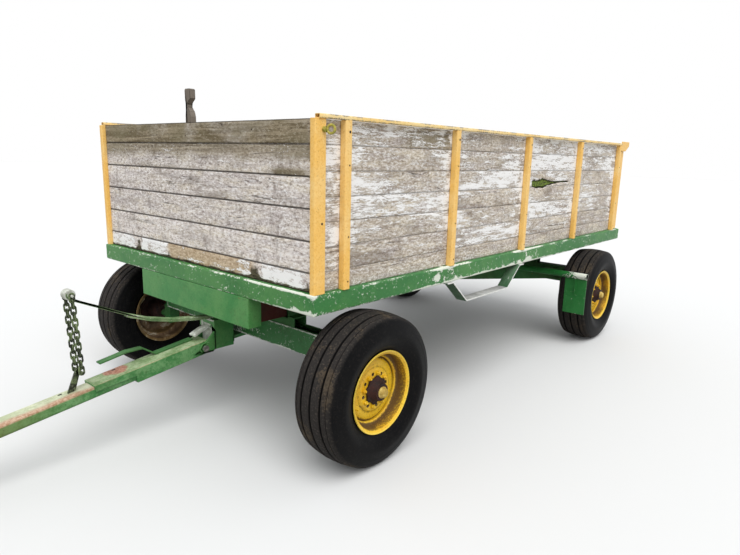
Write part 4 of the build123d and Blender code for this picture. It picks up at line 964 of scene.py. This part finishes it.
for name, side in (("left", 1), ("right", -1)):
    skin = Skin()
    mid_y = side * (stake_low[1] + stake_high[1]) / 2
    for x in stake_centres:
        tube(skin, STAKE_LENGTH, STAKE_WIDTH, 0.005, 0.004, (Z, X, Y), (x, mid_y, 0), stake_low[2],
             stake_high[2], 14)
    skin.make(name + "_stake_tubes", "wagon", MATS["post_yellow_paint"], [name + "_stakes"])
    rail = name + "_rail"
    lo, hi = corners(rail)
    skin = Skin()
    tube(skin, hi[1] - lo[1], hi[2] - lo[2], 0.004, 0.0025, (X, Y, Z),
         (0, (lo[1] + hi[1]) / 2, (lo[2] + hi[2]) / 2), lo[0], hi[0], 60)
    skin.make(name + "_top_rail", "wagon", MATS["rail_cream_paint"], [rail])

# Wheels: tyre, rim with its holed disc, and hub

TYRE_RADIUS, HALF_TYRE, HALF_TREAD = 0.385, 0.1395, 0.1035
# Middle, half width and depth of each groove
GROOVES = [(-0.060, 0.0065, 0.010), (0.0, 0.0065, 0.010), (0.060, 0.0065, 0.010), (-0.093, 0.0025, 0.004),
           (0.093, 0.0025, 0.004)]
# Radius, height and width of each ring on the sidewall
WALL_RINGS = [(0.343, 0.0016, 0.0022), (0.334, 0.0012, 0.002), (0.236, 0.0018, 0.004)]
BEAD = np.array([(0.1020, 0.2095), (0.0975, 0.1955)])
TYRE_INSIDE = np.array([(0.0, 0.366), (0.060, 0.363), (0.1065, 0.352), (0.1235, 0.300), (0.1190, 0.250),
                        (0.0880, 0.2125), (0.0830, 0.1955)])
RIM_LINE = np.array([
    (0.1105, 0.2085), (0.1085, 0.2040), (0.1040, 0.1960), (0.1025, 0.1925), (0.0595, 0.1890), (0.0530, 0.1860),
    (0.0480, 0.1710), (0.0450, 0.1675), (0.0350, 0.1675), (0.0270, 0.1675)])
RIM_SHEET = 0.0024
HOLES, HOLE_RING, HOLE_RADIUS, HOLE_POINTS = 16, 0.0845, 0.0075, 32
DISC_IN, DISC_OUT, DISC_BORE = 0.0665, 0.1020, 0.0590
DISC_FACE, DISC_SHEET = 0.0580, 0.0060
DISC = [(0.0340, 0.1655), (0.0385, 0.1600), (0.0440, 0.1500), (0.0475, 0.1420), (0.0470, 0.1250),
        (0.0500, 0.1130), (0.0560, 0.1060), (DISC_FACE, DISC_OUT)]
HUB = [(-0.108, 0.0245), (-0.108, 0.0560), (-0.104, 0.0580), (0.040, 0.0580), (0.0425, 0.0600),
       (0.0425, 0.0950), (0.0450, 0.0970), (0.0515, 0.0970), (0.0520, 0.0570), (DISC_FACE + 0.0005, 0.0570),
       (DISC_FACE + 0.0005, 0.0670), (0.0680, 0.0690), (0.0710, 0.0660), (0.0730, 0.0600), (0.0760, 0.0560),
       (0.0980, 0.0455), (0.1010, 0.0440), (0.1060, 0.0430), (0.1060, 0.0300), (0.1060, 0.0)]
HUB_CAP = [(0.1055, 0.0), (0.1055, 0.0290), (0.1110, 0.0290), (0.1130, 0.0260), (0.1240, 0.0235),
           (0.1280, 0.0205), (0.1300, 0.0150), (0.1300, 0.0)]
VALVE = [(0, 0), (0, 0.0045), (0.022, 0.0045), (0.024, 0.003), (0.030, 0.003), (0.030, 0)]
WHEEL_TURNS = {"front_left": 0.2, "front_right": 1.1, "rear_left": 0.7, "rear_right": 2.3}


def closed_profile(outer, inner):
    """Joins an outer and an inner line of (across, radius) points into one closed outline."""
    return np.concatenate([outer, inner[::-1]])


def tyre_outline():
    """Ribbed tread on a slight crown, shoulders, sidewall rings and a bead; returns points and groove depth."""
    lines = [c + np.array([-1.3, -1.0, -0.55, 0.55, 1.0, 1.3]) * w for c, w, d in GROOVES]
    across = np.unique(np.concatenate([np.linspace(-HALF_TREAD, HALF_TREAD, 24)] + lines))
    across = across[np.abs(across) <= HALF_TREAD + 0.0001]
    cut = np.max([deep * np.clip((width * 1.15 - np.abs(across - centre)) / (width * 0.5), 0, 1)
                  for centre, width, deep in GROOVES], 0)
    tread = np.stack([across, TYRE_RADIUS - 0.011 * (across / HALF_TREAD) ** 2 - cut], 1)
    t = np.linspace(0, 1, 5)[1:]
    shoulder = np.stack([HALF_TREAD + 0.0145 * t, 0.374 - 0.016 * t ** 1.6], 1)
    t = np.linspace(0, 1, 26)[1:]
    radius = 0.358 - t * (0.358 - 0.2135)
    hollow = 0.0365 * (np.clip(t - 0.45, 0, 1) / 0.55) ** 1.5
    bulge = 0.118 + 0.0215 * np.sin(np.clip(t * 1.9, 0, math.pi / 2)) - hollow
    rings = sum(high * np.exp(-((radius - place) / wide) ** 2) for place, high, wide in WALL_RINGS)
    wall = np.stack([np.minimum(bulge + rings, HALF_TYRE), radius], 1)
    right = np.concatenate([shoulder, wall, BEAD])
    outer = np.concatenate([right[::-1] * [-1, 1], tread, right])
    inner = np.concatenate([TYRE_INSIDE[:0:-1] * [-1, 1], TYRE_INSIDE])
    groove = np.zeros(len(outer) + len(inner))
    groove[len(right):len(right) + len(cut)] = cut / 0.010
    return closed_profile(outer, inner), groove


def rim_outline():
    """Sheet of even thickness bent through lip, bead seat and well, the same on both sides."""
    line = np.concatenate([RIM_LINE, RIM_LINE[::-1] * [-1, 1]])
    ahead = np.roll(line, -1, 0) - np.roll(line, 1, 0)
    ahead[0], ahead[-1] = line[1] - line[0], line[-1] - line[-2]
    ahead /= np.linalg.norm(ahead, axis=1)[:, None]
    out = np.stack([-ahead[:, 1], ahead[:, 0]], 1) * RIM_SHEET
    return closed_profile(line + out, line - out)


def holed_ring(skin, centre, axis, start, side):
    """Flat ring with a circle of round holes. Each hole's sector runs from its rim, a curved four-sided frame,
    to the hole's circle, on the front, through the sheet and back on the rear."""
    t = np.arange(HOLE_POINTS) / HOLE_POINTS * 4
    frame_x, frame_y = [np.clip(np.abs((t + shift) % 4 - 2) * 2 - 2, -1, 1) for shift in (1.5, 0.5)]
    for i in range(HOLES):
        turned = 2 * math.pi * i / HOLES
        radius = (DISC_IN + DISC_OUT) / 2 + frame_y * (DISC_OUT - DISC_IN) / 2
        angle = turned - frame_x * math.pi / HOLES
        rim = np.stack([radius * np.cos(angle), radius * np.sin(angle)], 1)
        hole = HOLE_RING * np.array([math.cos(turned), math.sin(turned)])
        toward = np.arctan2(rim[:, 1] - hole[1], rim[:, 0] - hole[0])
        circle = hole + HOLE_RADIUS * np.stack([np.cos(toward), np.sin(toward)], 1)
        flat = np.stack([rim, circle + (rim - circle) * 0.25, circle, circle, rim])
        heights = np.array([0, 0, -0.0006, -DISC_SHEET, -DISC_SHEET]) + DISC_FACE
        skin.add(placed(flat, (axis, start, side), centre, heights), radius=np.linalg.norm(flat, axis=2),
                 crease=np.array([[0.05], [0.3], [0.8], [1.0], [0.4]]),
                 inner=np.array([[0], [0], [0], [1], [1]]))


def lobes(turn, radius):
    """Scallops of the hub's flange: the radius swells eight times round the turn."""
    return radius + np.where(radius > 0.062, 0.0045, 0.0) * np.cos(turn * 8)


tyre_profile, tyre_groove = tyre_outline()
rim_profile = rim_outline()
rim_across = rim_profile[:, 0]
rim_crease = np.exp(-((np.abs(rim_across) - 0.056) / 0.007) ** 2)
rim_crease += 0.5 * np.exp(-((np.abs(rim_across) - 0.103) / 0.003) ** 2)
disc_back = [(0.0300, 0.1655)] + [(a - DISC_SHEET, r) for a, r in DISC[1:]]
disc_crease = np.array([[1.0, 0.8, 0.3, 0.1, 0.15, 0.5, 0.2, 0.05] + [0.6] * 8])
disc_inner = np.array([[0.0] * 8 + [1.0] * 8])
bore_ring = [(DISC_FACE, DISC_IN), (DISC_FACE, DISC_BORE), (DISC_FACE - DISC_SHEET, DISC_BORE),
             (DISC_FACE - DISC_SHEET, DISC_IN)]

for corner, side in WHEELS.items():
    body = "wheel_" + corner
    centre = corners("tyre_" + corner).mean(0)
    axis = side * Y
    turned = WHEEL_TURNS[corner]
    start = np.array([math.cos(turned), 0.0, math.sin(turned)])
    cross = np.cross(axis, start)
    skin = Skin()
    lathe(skin, tyre_profile, centre, axis, start, 128, closed=True, groove=tyre_groove)
    skin.make("tyre_" + corner + "_ribbed", body, MATS["tyre_rubber"], ["tyre_" + corner])
    skin = Skin()
    old_share = 1.0 if corner.startswith("front") else 0.5
    lathe(skin, rim_profile, centre, axis, start, closed=True, crease=rim_crease,
          inner=np.clip((0.036 - rim_across) / 0.008, 0, 1) * old_share)
    lathe(skin, closed_profile(DISC, disc_back), centre, axis, start, closed=True, crease=disc_crease,
          inner=disc_inner)
    holed_ring(skin, centre, axis, start, cross)
    lathe(skin, bore_ring, centre, axis, start, closed=True, crease=0.5)
    for i in range(0, HOLES, 2):
        angle = 2 * math.pi * i / HOLES
        seat = centre + axis * DISC_FACE + HOLE_RING * (math.cos(angle) * start + math.sin(angle) * cross)
        wheel_nut(skin, seat, axis, i * 0.4)
    valve = centre + axis * 0.052 + 0.150 * (math.cos(0.6) * start + math.sin(0.6) * cross)
    lathe(skin, VALVE, valve, axis, start, 12)
    skin.make("rim_" + corner + "_pressed", body, MATS["wheel_yellow"], ["rim_" + corner])
    skin = Skin()
    lathe(skin, HUB, centre, axis, start, radius_of=lobes)
    lathe(skin, [HUB[0], (HUB[0][0], 0.0)], centre, axis, start)
    skin.make("hub_" + corner + "_cast", body, MATS["hub_rust_brown"], ["hub_" + corner])
    skin = Skin()
    lathe(skin, HUB_CAP, centre, axis, start, 48)
    skin.make("hub_" + corner + "_dust_cap", body, MATS["hub_cap_pale"])

# Running gear and steering from the CAD shapes
GEAR = [
    ("front_sill_channel", "front_sill", "wagon", "deck_green", "sill_green_paint"),
    ("long_sill_beams", "long_sills", "wagon", "sill_red", "long_sill_red"),
    ("joist_tubes", "joists", "wagon", "deck_green", "gear_green_paint"),
    ("front_bolster_channel", "front_bolster", "wagon", "gear_dark", "gear_green_paint"),
    ("rear_bolster_channel", "rear_bolster", "wagon", "gear_dark", "gear_green_paint"),
    ("front_axle_beam", "front_axle", "wagon", "gear_dark", "axle_green_paint"),
    ("rear_axle_beam", "rear_axle", "wagon", "gear_dark", "gear_green_paint"),
    ("reach_pole_tube", "reach_pole", "wagon", "gear_dark", "gear_green_paint"),
    ("hound_braces", "rear_hounds", "wagon", "gear_dark", "gear_green_paint"),
    ("tailgate_ear_plates", "gate_ears", "wagon", "post_yellow", "post_yellow_paint"),
    ("tailgate_frame_tubes", "gate_frame", "tailgate", "post_yellow", "post_yellow_paint"),
    ("sleeve_lever_strap", "sleeve_lever", "tongue", "deck_green", "gear_green_paint"),
    ("chain_hook_plate", "chain_hook", "tongue", "rusty_iron", "chain_lichen_iron"),
    ("hitch_clevis_jaws", "hitch_clevis", "tongue", "rusty_iron", "rusty_iron"),
    ("knuckle_left_forging", "knuckle_left", "knuckle_left", "gear_dark", "gear_green_paint"),
    ("knuckle_right_forging", "knuckle_right", "knuckle_right", "gear_dark", "gear_green_paint"),
    ("tie_rod_left_bar", "tie_rod_left", "tie_rod_left", "rusty_iron", "rusty_iron"),
    ("tie_rod_right_bar", "tie_rod_right", "tie_rod_right", "rusty_iron", "rusty_iron"),
    ("tongue_sleeve_box", "tongue_sleeve", "tongue", "deck_green", "sleeve_green_paint"),
    ("drawbar_tube", "drawbar", "tongue", "deck_green", "drawbar_paint"),
    ("guard_bar_and_plates", "guard_bar", "wagon", "gear_dark", "guard_plate_green"),
    ("steering_head_block", "steering_head", "head", "deck_green", "sill_green_paint"),
    ("lift_spring_leaves", "lift_spring", "head", "gear_dark", "spring_leaf_paint"),
    ("step_strap", "step", "wagon", "bare_steel", "step_worn_paint"),
    ("middle_post_wood", "centre_post", "wagon", "grey_wood", "middle_post_wood"),
    ("rope_eye_rings", "rope_eyes", "wagon", "chain_iron", "eye_bolt_yellow_green"),
]
EYE = np.array([1.72548, 0.0, 0.836])
EYE_REACH = 0.0265
BEVELS = {
    "tongue_sleeve_box": {"bevel": 0.005},
    "drawbar_tube": {"bevel": 0.014, "inset": 0.022},
    "middle_post_wood": {"bevel": 0.003},
    "rope_eye_rings": {"bevel": 0.0},
}
PATCHES = {
    "steering_head_block": [
        ("pale_strap_corroded",
         lambda place, facing: abs(place.y) < 0.0285 and place.x > 0.985 and place.z > 0.478),
        ("worn_bolt_steel", lambda place, facing: abs(place.y) > 0.0725)],
    "lift_spring_leaves": [
        ("pale_strap_corroded",
         lambda place, facing: math.hypot(place.x - EYE[0], place.z - EYE[2]) < EYE_REACH)],
    "step_strap": [
        ("step_tread_steel", lambda place, facing: facing.z > 0.9),
        ("step_edge_white", lambda place, facing: facing.y > 0.9)],
}
for name, source, body, slot_name, key in GEAR:
    patches = [(MATS[patch], inside) for patch, inside in PATCHES.get(name, [])]
    worn_copy(name, source, body, slot_name, MATS[key], patches=patches, **BEVELS.get(name, {}))

# Lift chain: round-wire links, each a circle carried round a long ring, turned by a quarter from the last
LINK_LENGTH, LINK_WIDTH, LINK_WIRE, LINK_COUNT = 0.034, 0.013, 0.009, 13
CHAIN_LEAN, CHAIN_SPREAD, CHAIN_PITCH, CHAIN_END = -0.018, 0.0385, 0.03008, 0.0107
chain_reach = 2 * CHAIN_END + (LINK_COUNT - 1) * CHAIN_PITCH
run = np.array([CHAIN_LEAN, 0.0, -math.sqrt(chain_reach ** 2 - CHAIN_LEAN ** 2)]) / chain_reach
radius = (LINK_WIDTH + LINK_WIRE) / 2
turn = np.linspace(-math.pi / 2, math.pi / 2, 9)
cap = np.stack([(LINK_LENGTH - LINK_WIDTH) / 2 + radius * np.cos(turn), radius * np.sin(turn)], 1)
link_line = np.concatenate([cap, -cap])
wire_turn = np.arange(8)[:, None] / 8 * 2 * math.pi
skin = Skin()
for side in (1, -1):
    for i in range(LINK_COUNT):
        middle = EYE + side * CHAIN_SPREAD * Y + run * (CHAIN_END + i * CHAIN_PITCH)
        face = np.cross(run, Y) if i % 2 else Y
        line = middle + link_line[:, 0, None] * run + link_line[:, 1, None] * np.cross(face, run)
        ahead = np.roll(line, -1, 0) - np.roll(line, 1, 0)
        ahead /= np.linalg.norm(ahead, axis=1)[:, None]
        circle = np.cos(wire_turn) * np.cross(ahead, face)[:, None] + np.sin(wire_turn) * face
        skin.add(line[:, None] + LINK_WIRE / 2 * circle, along=True)
chain = skin.make("lift_chain_links", "head", MATS["chain_lichen_iron"], ["lift_chain"],
                  smooth=60)
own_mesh(chain)

# Bolts through the stakes and posts, and nail heads in the front boards
BOLT_HEIGHTS = (1.606, 1.462, 1.142, 0.935)
FRONT_NAILS = [(-0.635, 1.611), (-0.032, 1.588), (0.537, 1.613), (-0.30, 1.432), (0.31, 1.28), (-0.88, 1.14)]
skin = Skin()
for side in (1, -1):
    for x in stake_centres:
        for height in BOLT_HEIGHTS:
            place = np.array([x - 0.006, side * 0.9975, height])
            dome(skin, place, side * Y, 0.0065 if height > 1.5 else 0.0045, 0.0022)
    dome(skin, np.array([1.038, side * 0.9895, 1.212]), side * Y, 0.0060, 0.0022)
skin.make("stake_bolts", "wagon", MATS["dark_bolt_iron"])
skin = Skin()
for y, z in FRONT_NAILS:
    dome(skin, np.array([front_x - 0.0015, y, z]), X, 0.0045, 0.0018)
for a, b in board_rows(FRONT_BOARDS, 0.001):
    for y in (-0.935, 0.935):
        dome(skin, np.array([front_x - 0.0015, y, (a + b) / 2]), X, 0.0040, 0.0020)
skin.make("front_wall_nails", "wagon", MATS["dark_bolt_iron"])

# Floor, light and camera


def pale_floor():
    """Plain pale floor; bounced light sees it darker than the camera does."""
    made, n = new_material("pale_floor")
    path = n.put("ShaderNodeLightPath").outputs
    seen = n.math("MAXIMUM", Signal(n, path["Is Camera Ray"]), Signal(n, path["Is Glossy Ray"]))
    inputs = {"Base Color": n.mix(seen, "#8C8C88", "#DADAD8"), "Roughness": 0.9}
    n.put("ShaderNodeOutputMaterial", {"Surface": n.out("ShaderNodeBsdfPrincipled", inputs)})
    mesh = bpy.data.meshes.new("studio_floor")
    reach = 60.0
    mesh.from_pydata([(-reach, -reach, 0), (reach, -reach, 0), (reach, reach, 0), (-reach, reach, 0)], [],
                     [(0, 1, 2, 3)])
    mesh.materials.append(made)
    ground = bpy.data.objects.new("studio_floor", mesh)
    bpy.context.scene.collection.objects.link(ground)


def studio_light():
    """Even pale sky with a broad soft sun from high on the camera's left; the camera sees the sky white."""
    world = bpy.data.worlds.new("studio_sky")
    bpy.context.scene.world = world
    world.use_nodes = True
    world.node_tree.nodes.clear()
    n = Nodes(world.node_tree)
    seen = n.out("ShaderNodeLightPath", output="Is Camera Ray")
    light = n.out("ShaderNodeBackground", {"Color": "#F4F6FA", "Strength": 1.0})
    white = n.out("ShaderNodeBackground", {"Color": "#FFFFFF", "Strength": 1.0})
    n.put("ShaderNodeOutputWorld", {"Surface": n.out("ShaderNodeMixShader", {0: seen, 1: light, 2: white})})
    sun = bpy.data.lights.new("soft_sun", "SUN")
    sun.energy = 2.0
    sun.angle = math.radians(50)
    lamp = bpy.data.objects.new("soft_sun", sun)
    bpy.context.scene.collection.objects.link(lamp)
    lamp.rotation_euler = Vector((-0.35, -0.55, -1.0)).to_track_quat("-Z", "Y").to_euler()


def photo_camera():
    """Camera at the photograph's place, turned by its yaw, pitch and roll, for a 740 by 555 frame."""
    data = bpy.data.cameras.new("photo_camera")
    data.sensor_fit = "HORIZONTAL"
    data.sensor_width = SENSOR_WIDTH
    data.lens = CAMERA_LENS
    data.clip_end = 200
    camera = bpy.data.objects.new("photo_camera", data)
    bpy.context.scene.collection.objects.link(camera)
    level = math.cos(CAMERA_PITCH)
    ahead = Vector((level * math.cos(CAMERA_YAW), level * math.sin(CAMERA_YAW), math.sin(CAMERA_PITCH)))
    right = ahead.cross(Vector((0, 0, 1))).normalized()
    up = right.cross(ahead)
    rolled_right = math.cos(CAMERA_ROLL) * right + math.sin(CAMERA_ROLL) * up
    rolled_up = math.cos(CAMERA_ROLL) * up - math.sin(CAMERA_ROLL) * right
    turn = Matrix((rolled_right, rolled_up, -ahead)).transposed().to_4x4()
    camera.matrix_world = Matrix.Translation(CAMERA_PLACE) @ turn
    bpy.context.scene.camera = camera


pale_floor()
studio_light()
photo_camera()
bpy.context.scene.view_settings.view_transform = "Standard"
